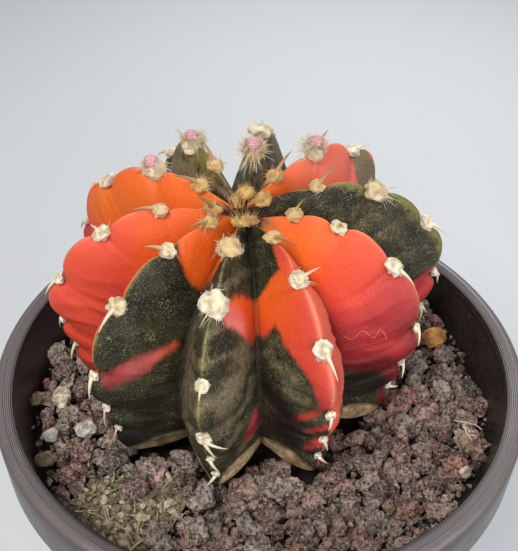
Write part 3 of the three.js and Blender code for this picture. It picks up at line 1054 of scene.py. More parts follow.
@dataclass
class Pot:
    """A round plastic nursery pot with a turned-down rim."""

    rim_radius: float = 45.0
    rim_height: float = 79.0
    mouth_radius: float = 41.75
    floor: float = 3.6
    wall: float = 1.4
    skirt_drop: float = 10.0
    foot_radius: float = 30.5
    foot_rise: float = 2.0
    steps: int = 192
    lip_rings: int = 6
    lip_pitch: float = 0.3
    lip_fall: float = 0.03
    ring_depth: float = 0.18
    drains: int = 6
    drain_ring: float = 19.0
    drain_radius: float = 3.2
    plug_steps: int = 25

    def inner_wall(self, height: float) -> float:
        """The wall's inner radius at a height."""
        base = self.foot_radius - self.wall
        return base + (self.mouth_radius - base) * (height - self.floor) / (self.rim_height - self.floor)

    def profile(self) -> list[tuple[float, float]]:
        """The section, from the underside round the outside and down the inside."""
        rim, high, foot = self.rim_radius, self.rim_height, self.foot_radius
        drop = high - self.skirt_drop
        outer = [
            (0, self.foot_rise), (foot - 3.0, self.foot_rise), (foot - 2.7, 0.3), (foot - 2.4, 0.0),
            (foot - 0.9, 0.0), (foot - 0.6, 0.25), (foot, 2.6),
            (self.inner_wall(drop + 1.5) + self.wall, drop + 1.5),
        ]
        skirt = [
            (rim - 1.7, drop + 0.2), (rim - 1.5, drop), (rim - 0.5, drop), (rim - 0.3, drop + 0.25),
            (rim, high - 1.3), (rim - 0.1, high - 0.7), (rim - 0.45, high - 0.25), (rim - 1.1, high),
            (rim - 1.5, high),
        ]
        lip = []
        for ring in range(self.lip_rings):
            radius = rim - 1.6 - self.lip_pitch * ring
            top = high - self.lip_fall * ring
            low = top - self.ring_depth
            lip += [(radius, top), (radius - 0.02, low), (radius - 0.13, low), (radius - 0.15, top)]
        lip.append((self.mouth_radius + 0.05, high - 0.7))
        bead = ((high - 1.0, 0.0), (high - 1.45, 0.0), (high - 1.6, 0.12), (high - 1.95, 0.12))
        inside = [(self.inner_wall(level) + sunk, level) for level, sunk in (*bead, (self.floor + 0.6, 0.0))]
        inside.append((self.inner_wall(self.floor) - 0.6, self.floor))
        return [*outer, *skirt, *lip, *inside, (0, self.floor)]

    def build(self, finish: Material) -> Piece:
        """Makes the pot."""
        points, faces = turned(self.profile(), self.steps)
        radius = np.hypot(points[:, 0], points[:, 1])
        # rim: full on the rim's top and a tenth on its skirt, where the plastic finish paints a highlight
        rim = smooth(radius, self.mouth_radius + 0.1, self.mouth_radius + 0.9) * smooth(points[:, 2], 60, 66)
        rim *= 0.1 + 0.9 * smooth(points[:, 2], self.rim_height - 1.3, self.rim_height - 0.2)
        made = make_piece("nursery_pot", points, faces, finish, {"rim": rim})
        self.drain(made)
        made.data.set_sharp_from_angle(angle=math.radians(50))
        return made

    def drain(self, pot: Piece) -> None:
        """Cuts the drain holes through the pot's floor."""
        radius, top = self.drain_radius, 2 * self.floor
        plug, sides = turned([(0, -1), (radius, -1), (radius, top), (0, top)], self.plug_steps)
        places = self.drain_ring * circle(self.drains, 0.5)
        points, faces, _ = gather((plug + place, sides) for place in places)
        cutter = make_piece("drain_cutter", points, faces, None)
        cut = pot.modifiers.new("drains", "BOOLEAN")
        cut.object, cut.operation, cut.solver = cutter, "DIFFERENCE", "EXACT"
        settle(pot)
        bpy.data.objects.remove(cutter)


@dataclass(frozen=True)
class Layer:
    """One layer of loose pieces: how high it lies over the heap, how close and how big its pieces are."""

    name: str
    lift: float
    spacing: float
    smallest: float
    largest: float
    seed: int


class Scatter(Rule):
    """The rule that strews loose pieces over a bed, thinned by the room painted on it."""

    crowd: float = 4e6
    tint_seed: int = 77

    def __init__(self) -> None:
        inputs = {name: "NodeSocketFloat" for name in ("Spacing", "Smallest", "Largest", "Tilt")}
        inputs |= {"Seed": "NodeSocketInt", "Shapes": "NodeSocketCollection", "Finish": "NodeSocketMaterial"}
        super().__init__("strewn_pieces", inputs)
        seed = self["Seed"]
        spots = self.bench.node(
            "GeometryNodeDistributePointsOnFaces",
            {"distribute_method": "POISSON"},
            {
                "Mesh": self["Geometry"], "Distance Min": self["Spacing"], "Density Max": self.crowd,
                "Density Factor": self.named("room", "FLOAT"), "Seed": seed,
            },
        )
        turn = self.chance("FLOAT_VECTOR", (0.0, 0.0, 0.0), self.sway(), seed)
        size = self.chance("FLOAT", self["Smallest"], self["Largest"], seed)
        copies = self.copies(spots.outputs["Points"], turn, size)
        self.finish(copies, self["Finish"], self.chance("FLOAT", 0.0, 1.0, self.tint_seed))

    def strew(
        self, bed: Piece, layer: Layer, shapes: bpy.types.Collection, finish: Material, tilt: float = TAU
    ) -> Piece:
        """Turns a bed into one layer of loose pieces.

        Args:
            bed: the surface that they lie on.
            layer: how close and how big they are.
            shapes: what they look like.
            finish: their material.
            tilt: how far they may lean, in radians.

        Returns:
            The bed, which now is the pieces alone.
        """
        self.apply(
            bed, Spacing=layer.spacing * MM, Smallest=layer.smallest, Largest=layer.largest,
            Tilt=tilt, Seed=layer.seed, Shapes=shapes, Finish=finish,
        )
        return bed


@dataclass
class Gravel:
    """Lava gravel heaped round the plant, with a patch of bare potting mix in front."""

    form: PlantForm
    level: float = 69.4
    radius: float = 40.3
    wall: float = 41.4
    wall_gap: float = 1.4
    grain_reach: float = 1.2
    disc_rings: int = 40
    disc_steps: int = 160
    foot_share: float = 0.97
    foot_steps: int = 41
    moat_depth: float = 1.9
    moat_width: float = 4.5
    heap: Point = (32.0, 19.5, 3.6)
    heap_width: float = 6.5
    kinds: int = 12
    corners: int = 13
    hero_kinds: int = 10
    pores: int = 70
    bed_drop: float = 2.4
    bed_crumple: float = 0.4
    patch_middle: tuple[float, float] = (-25.0, -25.0)
    patch_size: tuple[float, float] = (10.5, 9.5)
    grains: tuple[Layer, ...] = (
        Layer("gravel_sunk", -1.5, 2.4, 1.2, 2.0, 4),
        Layer("gravel_small", 0.1, 3.0, 0.8, 1.7, 3),
        Layer("gravel_grit", -0.5, 1.2, 0.3, 0.8, 6),
    )
    heroes: tuple[Layer, ...] = (
        Layer("gravel_large", 0.9, 5.2, 1.8, 2.9, 11),
        Layer("gravel_medium", 0.0, 4.3, 1.4, 2.4, 12),
    )

    def height(self, x: Array, y: Array) -> Array:
        """The heap's height at a place: it sinks a little under the plant's skirt."""
        swell = lattice_noise(level_points(x, y), 14.0, 5)
        moat = 1 - smooth(-self.inside_plant(x, y), 0.0, self.moat_width)
        heap = self.heap[2] * bell(np.hypot(x - self.heap[0], y - self.heap[1]), self.heap_width)
        return self.level + 0.6 * swell - self.moat_depth * moat + heap

    def inside_plant(self, x: Array, y: Array) -> Array:
        """How far a place lies inside the plant's foot, in mm, negative outside it."""
        stem = np.array(self.form.stem)
        across = np.linspace(-1, 1, self.foot_steps)
        share = np.full(self.foot_steps, self.foot_share)
        rings = [self.form.skin(k, across, share) for k in range(len(self.form.ribs))]
        foot = np.vstack(rings)[:, :2] - stem
        turns = np.arctan2(foot[:, 1], foot[:, 0])
        order = np.argsort(turns)
        place = np.stack([x, y], -1) - stem
        edge = np.interp(
            np.arctan2(place[..., 1], place[..., 0]), turns[order], np.hypot(*foot[order].T), period=TAU
        )
        return edge - np.hypot(place[..., 0], place[..., 1])

    def patch(self, x: Array, y: Array) -> Array:
        """1 where bare potting mix shows among the gravel."""
        across = (x - self.patch_middle[0]) / self.patch_size[0]
        down = (y - self.patch_middle[1]) / self.patch_size[1]
        ragged = rough_noise(level_points(x, y), 5.0, 9)
        return 1 - smooth(np.hypot(across, down) + 0.4 * ragged, 0.7, 1.1)

    def disc(
        self, name: str, lift: float, finish: Material | None, rough: float = 0.0, largest: float = 0.0
    ) -> Piece:
        """A surface over the whole mouth of the pot.

        Args:
            name: the piece's name.
            lift: its height over the heap.
            finish: its material, or None for a bed that only guides the grains.
            rough: how far it is crumpled.
            largest: the size of its largest grain, which stays inside the pot's wall.

        Returns:
            The object, with the room for grains and for crumbs painted on it.
        """
        rings, steps = self.disc_rings, self.disc_steps
        radii = np.linspace(0, self.radius, rings + 1)[1:, None]
        x = np.append(radii * circle(steps)[:, 0], 0)
        y = np.append(radii * circle(steps)[:, 1], 0)
        crumple = rough * lattice_noise(level_points(x, y), 1.5, 8)
        points = np.stack([x, y, self.height(x, y) + lift + crumple], -1)
        clear = 1 - smooth(self.inside_plant(x, y), -0.4, 1.6)
        bare = self.patch(x, y)
        edge = self.wall + (1.0 if lift > 0.5 else -0.3)
        reach = min(edge - self.grain_reach * largest, self.wall - self.wall_gap)
        clear *= 1 - smooth(np.hypot(x, y), reach - 1.0, reach)
        for pebble in PEBBLES:
            reach = max(pebble.half[:2]) - 0.1
            clear *= smooth(np.hypot(x - pebble.at[0], y - pebble.at[1]), 0.7 * reach, reach)
        faces = [[rings * steps, k, (k + 1) % steps] for k in range(steps)]
        faces += bands(rings, steps)
        # tint -1 marks a bed, which the lava finish paints dark as painted shade between grains
        layers = {"room": clear * (1 - bare), "bare": clear * bare, "tint": np.full(len(x), -1.0)}
        return make_piece(name, points, faces, finish, layers)

    def hero(self, seed: int) -> Shape:
        """A large grain with its pores cut into its shape."""
        shape, faces = ball(3)
        rng = np.random.default_rng(seed)
        radius = 0.92 * np.minimum(hewn(shape, rng, 13, 0.58, 24), 1.3)
        pores = unit(rng.normal(size=(self.pores, 3)))
        depth = rng.uniform(0.05, 0.26, self.pores)
        reach = rng.uniform(0.1, 0.26, self.pores)
        away = np.arccos(np.clip(shape @ pores.T, -1, 1))
        radius -= (depth * np.exp(-((away / reach) ** 4))).max(1)
        coarse, fine = rough_noise(shape * 10, 5.0, seed, 2), rough_noise(shape * 10, 2.4, seed + 9, 2)
        radius *= 1 + 0.14 * coarse + 0.16 * fine
        return shape * radius[:, None] * rng.uniform(0.75, 1.15, 3), faces

    def build(self, finish: Material) -> list[Piece]:
        """Makes the bed, a dark sheet of painted shade under the grains, and its layers of grains."""
        made = [self.disc("gravel_bed", -self.bed_drop, finish, self.bed_crumple)]
        scatter = Scatter()
        small = shelf("crags", [crag(40 + k, self.corners, 1, 0.3) for k in range(self.kinds)], False)
        large = shelf("pitted_crags", [self.hero(70 + k) for k in range(self.hero_kinds)], False)
        plan = [*((layer, small) for layer in self.grains), *((layer, large) for layer in self.heroes)]
        for layer, shapes in plan:
            bed = self.disc(layer.name, layer.lift, None, 0.0, layer.largest)
            made.append(scatter.strew(bed, layer, shapes, finish))
        return made


@dataclass
class MixPatch:
    """Crumbs and straws of potting mix that lie bare in front of the plant."""

    gravel: Gravel
    lift: float = 0.1
    crumple: float = 0.35
    least_bare: float = 0.02
    crumbs: Layer = Layer("mix_crumbs", 0.3, 0.85, 0.2, 1.15, 21)
    straws: Layer = Layer("mix_straws", 0.9, 1.15, 0.4, 1.5, 22)

    def bed(self, name: str, lift: float, finish: Material | None, largest: float = 0.0) -> Piece:
        """The patch's surface."""
        made = self.gravel.disc(name, lift, finish, self.crumple, largest)
        spread = np.zeros(len(made.data.vertices), np.float32)
        made.data.attributes["bare"].data.foreach_get("value", spread)
        made.data.attributes["room"].data.foreach_set("value", spread)
        shape = bmesh.new()
        shape.from_mesh(made.data)
        shape.verts.ensure_lookup_table()
        outside = [corner for corner, share in zip(shape.verts, spread) if share < self.least_bare]
        bmesh.ops.delete(shape, geom=outside, context="VERTS")
        shape.to_mesh(made.data)
        shape.free()
        return made

    def build(self, finish: Material) -> list[Piece]:
        """Makes the patch with its crumbs and straws."""
        made = [self.bed("mix_patch", self.lift, finish)]
        scatter = Scatter()
        crumbs = shelf("crumbs", [crag(90 + k, 9, 0, 0.3) for k in range(8)], True)
        straws = shelf("straws", [self.straw(k) for k in range(6)], True)
        for layer, shapes, tilt in ((self.crumbs, crumbs, TAU), (self.straws, straws, 0.5)):
            bed = self.bed(layer.name, layer.lift, None, 1.6 * layer.largest)
            made.append(scatter.strew(bed, layer, shapes, finish, tilt))
        return made

    @staticmethod
    def straw(seed: int) -> Strand:
        """A short bent fibre lying along X."""
        rng = np.random.default_rng(200 + seed)
        bend = rng.uniform(-0.5, 0.5, 2)
        share = np.linspace(-1, 1, 6)
        line = np.stack([1.5 * share, bend[0] * share**2, 0.3 * bend[1] * share**2], -1)
        return strand(line, np.full(6, rng.uniform(0.05, 0.13)), 4)


@dataclass(frozen=True)
class Pebble:
    """One odd stone among the gravel: where it lies, its half sizes, its turn and how lumpy it is."""

    name: str
    at: Point
    half: Point
    turn: float
    seed: int
    finish: Stone
    slot: str
    rough: float = 0.12


OCHRE = Stone("ochre_stone", linear(196, 140, 74), linear(128, 84, 42), 0.7, 0.15)
PUMICE = Stone("white_pumice", linear(206, 200, 190), linear(148, 142, 136), 0.45, 0.3)
CREAM = Stone("cream_pumice", linear(216, 208, 186), linear(148, 134, 108), 0.5, 0.45)
TAN = Stone("tan_stone", linear(134, 116, 90), linear(84, 72, 56), 0.5, 0.3)
PEBBLES = (
    Pebble("ochre_pebble", (32.6, 12.3, 72.4), (3.1, 2.7, 2.5), 0.3, 1, OCHRE, "ochre_stone"),
    Pebble("white_pumice", (-29.6, -9.2, 71.6), (2.3, 2.0, 1.8), 1.1, 2, PUMICE, "pale_stone"),
    Pebble("cream_pumice", (-34.6, -2.6, 71.8), (1.9, 2.7, 1.6), 0.35, 3, CREAM, "pale_stone", 0.3),
    Pebble("grey_chip", (-35.4, -10.2, 70.9), (1.9, 1.5, 1.3), 0.4, 4, PUMICE, "pale_stone"),
    Pebble("tan_chip", (-39.0, -2.0, 70.9), (1.6, 1.4, 1.2), 0.9, 5, TAN, "pale_stone", 0.25),
    Pebble("flat_chip", (-35.5, -15.1, 70.9), (2.4, 1.9, 0.9), 0.2, 6, TAN, "pale_stone", 0.25),
    Pebble("pale_chip", (33.6, -17.6, 70.9), (1.5, 1.3, 1.1), 0.6, 7, CREAM, "pale_stone"),
)


def build_pebble(pebble: Pebble) -> Piece:
    """Makes one odd stone, lumpy and worn."""
    shape, faces = ball(4)
    rng = np.random.default_rng(300 + pebble.seed)
    radius = np.minimum(hewn(shape, rng, 12, 0.82, 8), 1.12) / 1.12
    radius = radius * (0.88 + pebble.rough * rough_noise(shape * 10, 5.0, pebble.seed, 4))
    local = shape * radius[:, None] * pebble.half
    cos, sin = math.cos(pebble.turn), math.sin(pebble.turn)
    turned_about = np.stack(
        [local[:, 0] * cos - local[:, 1] * sin, local[:, 0] * sin + local[:, 1] * cos, local[:, 2]], -1
    )
    return make_piece(pebble.name, turned_about + pebble.at, faces, pebble.finish.material())


# ---------------------------------------------------------------- the plant


class Pigment(Enum):
    """What a stroke lays on the skin: the skin's pigments, and near-black painted shade."""

    GREEN = "green"
    BARE = "bare"
    BLUSH = "blush"
    ROSE = "rose"
    BRONZE = "bronze"
    # near black laid where the body lies in shade under its bulge: painted shade
    NIGHT = "night"


@dataclass(frozen=True)
class Stroke:
    """A stroke of pigment or of painted shade on one flank.

    A flank is a rib's name and the side of its edge, + towards the next rib. The route's points are
    (mm along the edge, share of the way from edge to groove), and the widths are mm.
    """

    flank: str
    pigment: Pigment
    route: tuple[tuple[float, float], ...]
    widths: tuple[float, ...]
    level: float = 1.0
    soft: float = 1.4


GREEN, BARE, BLUSH, ROSE, BRONZE, NIGHT = Pigment
REAR_RIBS = ("f", "g")
REAR_STRIPE = (BRONZE, ((3, 0.3), (26, 0.3)), (1.5, 3.4), 0.95, 2.6)
GREEN_FLANKS = ("a-", "a+", "b-", "d-", "d+", "e+", "f-", "f+", "g-", "g+", "j+")
# Each flank's strokes in the order they are laid, with the fields of Stroke after the flank.
FLANK_STROKES = {
    "a-": (
        (BARE, ((6, 0.8), (12, 0.6), (16, 0.75)), (4.0, 4.4, 2.6)),
        (ROSE, ((36, 0.85), (45, 0.85)), (0.5, 0.4), 0.5),
        (BARE, ((37, 0.85), (44, 0.85)), (0.1, 0.1), 0.6, 1.2),
        (BRONZE, ((24, 0.5), (36, 0.4), (48, 0.4)), (3.0, 4.0, 3.0), 0.7),
    ),
    "a+": (
        (BARE, ((23.6, 0.32), (24.6, 0.9)), (2.1, 3.6), 1.0, 2.0),
        (ROSE, ((24.2, 0.3), (26, 0.5)), (2.2, 2.4), 0.8),
        (BLUSH, ((24, 0.95), (25, 0.6)), (2.0, 1.0), 0.3),
        (BARE, ((48.5, 0.9), (50, 0.72)), (2.0, 1.7)),
        (BLUSH, ((46, 0.9), (50, 0.6)), (3.6, 3.6), 0.93),
        (ROSE, ((46.5, 0.86), (48, 0.8)), (0.9, 0.6), 0.35),
        (BRONZE, ((30, 0.7), (38, 0.3)), (2.2, 2.6), 0.9, 2.4),
        (BRONZE, ((37, 0.8), (44, 0.4)), (1.8, 2.0), 0.8, 2.4),
        (NIGHT, ((50, 0.3), (57, 0.4)), (2.5, 2.5), 0.6, 2.5),
    ),
    "b-": (
        (BARE, ((11, 0.0), (17.5, 0.1), (20.5, 0.5), (23.5, 0.85)), (1.2, 1.6, 3.2, 3.2)),
        (BARE, ((22, 0.25), (28, 0.3), (34, 0.15), (38, 0.06)), (5.0, 3.4, 2.2, 1.4)),
        (BLUSH, ((10, 0.02), (16, 0.02)), (1.6, 1.6), 0.62),
        (BLUSH, ((25, 0.02), (38, 0.06)), (2.6, 3.2), 0.66),
        (BARE, ((39.5, 0.05), (43.5, 0.4), (45.5, 0.55)), (0.8, 0.55, 0.2)),
        (BARE, ((43.5, 0.05), (47.5, 0.3)), (0.6, 0.2)),
        (BARE, ((49, 0.04), (53, 0.25)), (0.9, 0.3)),
        (BLUSH, ((39, 0.2), (54, 0.2)), (4.0, 4.0), 0.78),
        (NIGHT, ((41, 0.3), (46, 0.45), (53, 0.4)), (0.3, 1.6, 2.4), 0.62, 2.4),
        (NIGHT, ((40, 0.85), (44, 0.6), (52, 0.5)), (2.6, 2.8, 3.4), 1.0, 2.5),
        (BRONZE, ((27, 0.8), (38, 0.45)), (2.0, 3.0), 0.7, 2.4),
    ),
    "b+": (
        (GREEN, ((45, 0.3), (56, 0.4)), (2.0, 3.6)),
        (BLUSH, ((14, 0.2), (40, 0.3)), (4.0, 5.0), 0.42),
        (ROSE, ((20, 0.2), (40, 0.3)), (4.0, 5.0), 0.3),
    ),
    "c-": (
        (GREEN, ((1, 0.3), (6, 0.3)), (2.2, 1.2), 0.6),
        (BRONZE, ((1, 0.3), (6.5, 0.35)), (3.0, 3.0), 1.0),
        (GREEN, ((49.5, 1.0), (49.2, 0.6), (51.5, 0.35), (57, 0.4)), (3.2, 2.6, 1.5, 3.6)),
        (NIGHT, ((44.5, 0.8), (43.6, 0.45), (46.8, 0.14)), (0.5, 0.9, 0.4), 0.95, 1.7),
        (GREEN, ((50, 0.95), (54, 0.7), (57, 0.4)), (4.0, 4.0, 3.0)),
        (NIGHT, ((48, 0.95), (49.5, 0.5), (53, 0.3)), (2.6, 3.0, 2.6), 1.0, 2.6),
        (BLUSH, ((36, 0.9), (39, 0.5), (43, 0.3)), (3.4, 3.0, 2.4), 0.86, 3.5),
        (BLUSH, ((44, 0.9), (46, 0.5), (49, 0.2)), (2.2, 2.2, 1.6), 0.97, 2.5),
        (BARE, ((47.5, 0.04), (50.5, 0.25)), (1.0, 0.4)),
    ),
    "d-": (
        (BRONZE, ((12, 0.4), (22, 0.5), (30, 0.4)), (1.5, 2.6, 2.2), 0.62, 3.0),
        (ROSE, ((10, 0.0), (17, 0.0)), (0.5, 0.5), 0.8, 0.8),
        (BARE, ((10, 0.0), (17, 0.0)), (0.4, 0.4), 0.9, 0.8),
        (BARE, ((43.5, 0.0), (43.5, 0.35), (45, 0.7)), (3.0, 3.6, 3.0)),
        (BARE, ((46, 0.1), (54, 0.3)), (4.0, 3.0)),
        (BLUSH, ((36, 0.1), (50, 0.2)), (5.0, 6.0), 0.84),
    ),
    "d+": (
        (BARE, ((10, 1.0), (20, 0.65), (34, 0.85), (44, 1.0)), (2.0, 4.5, 3.0, 2.0)),
        (BLUSH, ((30, 0.8), (44, 0.9)), (3.0, 3.0), 0.85),
    ),
    "e-": (
        (GREEN, ((27, 0.0), (29, 0.25), (36, 0.3), (50, 0.5)), (2.4, 3.0, 6.0, 9.0)),
        (BRONZE, ((24, 0.1), (36, 0.3)), (4.0, 7.0), 1.0),
        (ROSE, ((15, 0.3), (24, 0.3)), (4.0, 6.0), 0.45, 4.0),
        (BLUSH, ((2, 0.4), (11, 0.4)), (5.0, 4.0), 0.2, 4.0),
    ),
    "e+": (
        (BARE, ((6, 1.0), (15, 0.75), (22, 1.0)), (2.4, 2.6, 1.6)),
        (BARE, ((46, 0.3), (52, 0.8)), (0.8, 2.0)),
    ),
    "f-": (REAR_STRIPE,),
    "f+": (
        REAR_STRIPE,
        (BARE, ((28, 1.0), (38, 0.75), (50, 1.0)), (1.6, 3.6, 2.0)),
    ),
    "g-": (
        REAR_STRIPE,
        (BARE, ((24, 1.0), (34, 0.7), (44, 0.95)), (1.4, 3.2, 2.0)),
        (BLUSH, ((34, 0.7), (44, 0.9)), (3.0, 3.0), 0.85),
    ),
    "g+": (
        REAR_STRIPE,
        (BARE, ((38, 1.0), (47, 0.55), (52, 0.1)), (2.2, 2.4, 1.0)),
        (BLUSH, ((38, 1.0), (52, 0.1)), (3.4, 3.4), 0.84),
    ),
    "h+": (
        (BLUSH, ((8, 0.2), (30, 0.3)), (5.0, 7.0), 0.16, 4.0),
        (GREEN, ((1, 0.5), (6, 0.5)), (1.8, 1.2), 0.6),
        (BRONZE, ((1, 0.5), (7, 0.5)), (3.0, 3.0), 1.0),
        (GREEN, ((48, 0.8), (56, 0.5)), (3.0, 5.0)),
    ),
    "h-": ((GREEN, ((20, 0.8), (36, 0.6), (50, 0.5)), (2.4, 4.6, 6.0)),),
    "i+": ((BLUSH, ((26, 0.2), (36, 0.3), (50, 0.3)), (5.0, 7.0, 7.0), 0.6, 3.0),),
    "i-": ((GREEN, ((44, 0.7), (56, 0.4)), (3.0, 5.0)),),
    "c+": ((GREEN, ((30, 0.9), (44, 0.6), (56, 0.5)), (2.6, 4.0, 6.0)),),
    "j-": ((GREEN, ((42, 0.5), (56, 0.4)), (3.0, 6.0)),),
    "j+": (
        (BARE, ((6, 0.5), (12, 0.3), (15.2, 0.75)), (4.0, 3.8, 3.8)),
        (BARE, ((39.6, 0.24), (37, 0.46), (32.6, 0.82)), (1.5, 2.3, 0.7), 1.0, 2.4),
        (BLUSH, ((42, 0.12), (37, 0.5)), (3.0, 2.8), 0.92),
        (ROSE, ((37.0, 0.44), (34.6, 0.64)), (1.6, 1.6), 0.6, 2.2),
        (BLUSH, ((33, 0.78), (31, 0.95)), (2.0, 2.4), 0.3, 2.6),
        (BRONZE, ((18, 0.1), (30, 0.6), (44, 0.5)), (4.0, 7.0, 7.0), 0.16, 2.2),
        (BRONZE, ((24, 0.1), (28, 0.6)), (0.8, 0.8), 0.6, 2.2),
        (NIGHT, ((46, 0.6), (54, 0.4)), (4.0, 4.0), 0.7, 3.0),
    ),
}
STROKES = tuple(Stroke(flank, *row) for flank, rows in FLANK_STROKES.items() for row in rows)


@dataclass
class CactusBody:
    """The ribbed skin at its full detail, with its pigments, painted shade and painted highlights laid on."""

    form: PlantForm
    rows: int = 205
    half_columns: int = 22
    closeness: float = 1.35
    first_share: float = 0.004
    neck_drop: float = 1.4
    under_shares: tuple[float, ...] = (0.06, 0.2, 0.55)

    def __post_init__(self) -> None:
        """Lays the grid of rows and columns out on the form."""
        steps = np.arange(-self.half_columns, self.half_columns) / self.half_columns
        self.across = np.sign(steps) * np.abs(steps) ** self.closeness
        self.share = np.linspace(self.first_share, 1, self.rows)
        across, share = np.meshgrid(self.across, self.share)
        sheets = [self.form.skin(index, across, share) for index in range(len(self.form.ribs))]
        self.flat = np.concatenate(sheets, axis=1)
        count = len(self.form.ribs)
        self.u = np.tile(across, (1, count))
        self.s = np.tile(share, (1, count))
        self.rib = np.repeat(np.arange(count), len(steps))[None].repeat(self.rows, 0)
        self.along = self.s * self.form.ridge.length

    def normals(self, points: Array) -> Array:
        """Outward directions of the grid."""
        down = np.gradient(points, axis=0)
        around = np.roll(points, -1, axis=1) - np.roll(points, 1, axis=1)
        return unit(np.cross(down, around))

    def relief(self) -> Array:
        """How far the skin stands out from the plain form: folds, notches, wrinkles and swells."""
        width = np.abs(self.u)
        total = 0.26 * lattice_noise(self.flat, 8.0, 21) + 0.07 * rough_noise(self.flat, 3.2, 22, 2)
        for index, rib in enumerate(self.form.ribs):
            here = self.rib == index
            share, wide, along = self.s[here], width[here], self.along[here]
            phase, step = self.form.between(rib, share)
            fold = np.sin(np.pi * phase) * smooth(along, 10, 30) * np.minimum(1, step / 9)
            total[here] += 0.22 * fold * np.sin(np.pi * np.clip(wide, 0, 1) ** 0.6) - 0.1
            wander = 1.6 * lattice_noise(self.flat[here], 9.0, 24)
            middle = smooth(wide, 0.04, 0.25) * (1 - smooth(wide, 0.6, 0.9))
            for mark in self.form.areoles(rib):
                total[here] -= 0.75 * bell(along - mark, 1.5) * bell(wide, 0.14) * smooth(mark, 3, 14)
                crease = bell(along - mark - wander - 2.5 * wide, 0.75)
                total[here] -= 0.2 * crease * middle * smooth(mark, 8, 20)
        drift = lattice_noise(self.flat, 7.0, 31)
        low = smooth(self.along, 20, 38) * smooth(width, 0.05, 0.3) * (1 - smooth(width, 0.86, 1.0))
        waves = 1 - 2 * np.abs(np.sin(np.pi * (self.along / 3.4 + 0.8 * drift + 0.7 * width)))
        total += 0.13 * low * waves * (0.7 + 0.9 * lattice_noise(self.flat, 6.0, 33))
        fine = 1 - 2 * np.abs(np.sin(np.pi * (self.along / 1.3 + 1.3 * drift - 1.0 * width)))
        total += 0.035 * low * fine * (0.6 + 0.8 * lattice_noise(self.flat, 4.0, 34))
        return total * smooth(self.along, 1.5, 7)

    def pigments(self, points: Array) -> dict[str, Array]:
        """The values painted on the skin: its pigments, painted shade and painted highlights."""
        width, along = np.abs(self.u), self.along
        names = np.array([rib.name for rib in self.form.ribs])[self.rib]
        flank = np.char.add(names, np.where(self.u < 0, "-", "+"))
        warp = lattice_noise(points, 7.0, 51)
        blush = 0.2 + 0.55 * smooth(along, 12, 46) + 0.12 * smooth(along, 4, 14) + 0.06 * warp
        blush -= 0.2 * width * (1 - smooth(along, 20, 40)) + 0.2 * (names == "i") * smooth(along, 28, 44)
        # rib c is painted deeper red from 14 mm down its edge: painted shade that dims it where the lamps
        # fall strongest
        blush += 0.14 * (names == "c") * smooth(along, 14, 24)
        bronze = 0.22 + 0.2 * (names == "a") + 0.28 * np.sin(TAU * (along / 6.0 + 0.9 * width + 0.5 * warp))
        bronze += 0.5 * np.isin(names, REAR_RIBS) * np.sin(TAU * (2.6 * width + 0.25 * warp))
        layers = {
            "green": np.isin(flank, GREEN_FLANKS).astype(float),
            "blush": blush,
            "rose": np.zeros_like(width),
            "bronze": bronze,
            # painted shade: near black over the lowest part of the body, under its bulge, reaching higher on
            # rib j
            "night": 0.75 * smooth(along, 50, 60) + 0.4 * (names == "j") * smooth(along, 34, 44),
        }
        for stroke in STROKES:
            here = flank == stroke.flank
            self._paint(layers, stroke, here, points[here])
        # edge and rim: bands along the ridge; on the flesh they give a pale line, partly its own and partly a
        # painted highlight; on green skin they give its own lime and olive fringe
        layers["edge"] = bell(width, 0.034) * smooth(along, 2, 12)
        band_strength = np.isin(names, ("d", "e", *REAR_RIBS)) * 0.5 + 0.5
        fade = 0.13 + 0.3 * np.isin(names, REAR_RIBS) * (1 - smooth(along, 16, 28))
        layers["rim"] = band_strength * np.exp(-width / fade) * smooth(along, 3, 12) * (1 - smooth(along, 36, 50))
        # 1 at the bottom of each groove, where the finish paints shade
        layers["cleft"] = smooth(width, 0.86, 1.0)
        hem = self.form.ridge.length - along
        front = np.isin(flank, ("a+", "b-"))
        band = 1.2 + (2.4 + 1.4 * front) * np.sin(np.pi * np.clip(width, 0, 1)) ** 0.8 + 2.0 * width
        layers["cork"] = 1 - smooth(hem + 0.6 * lattice_noise(points, 2.0, 41), band * 0.75, band * 1.1)
        layers["cork"] *= np.where(np.isin(names, ("h", "i", "j")), 0.45, 1.0)
        return layers

    def _paint(self, layers: dict[str, Array], stroke: Stroke, here: Array, points: Array) -> None:
        """Lays one stroke over a flank."""
        index = self.form.number(stroke.flank[0])
        sign = -1 if stroke.flank[1] == "-" else 1
        route = [
            self.form.skin(index, np.array(sign * max(share, TINY)), np.array(along / self.form.ridge.length))
            for along, share in stroke.route
        ]
        points = points + np.stack([0.9 * lattice_noise(points, 5.0, 60 + k) for k in range(3)], -1)
        best = np.full(len(points), -1e9)
        for start, end, wide, narrow in zip(route, route[1:], stroke.widths, stroke.widths[1:]):
            line = end - start
            share = np.clip((points - start) @ line / (line @ line), 0, 1)
            away = np.linalg.norm(points - start - share[:, None] * line, axis=1)
            best = np.maximum(best, wide + (narrow - wide) * share - away)
        cover = np.clip(0.5 + best / (2 * stroke.soft), 0, 1)
        if stroke.pigment is BARE:
            layers["green"][here] = np.minimum(layers["green"][here], 1 - cover * stroke.level)
        elif stroke.pigment in (BLUSH, BRONZE):
            layer = layers[stroke.pigment.value]
            layer[here] += cover * (stroke.level - layer[here])
        else:
            layer = layers[stroke.pigment.value]
            layer[here] = np.maximum(layer[here], cover * stroke.level)

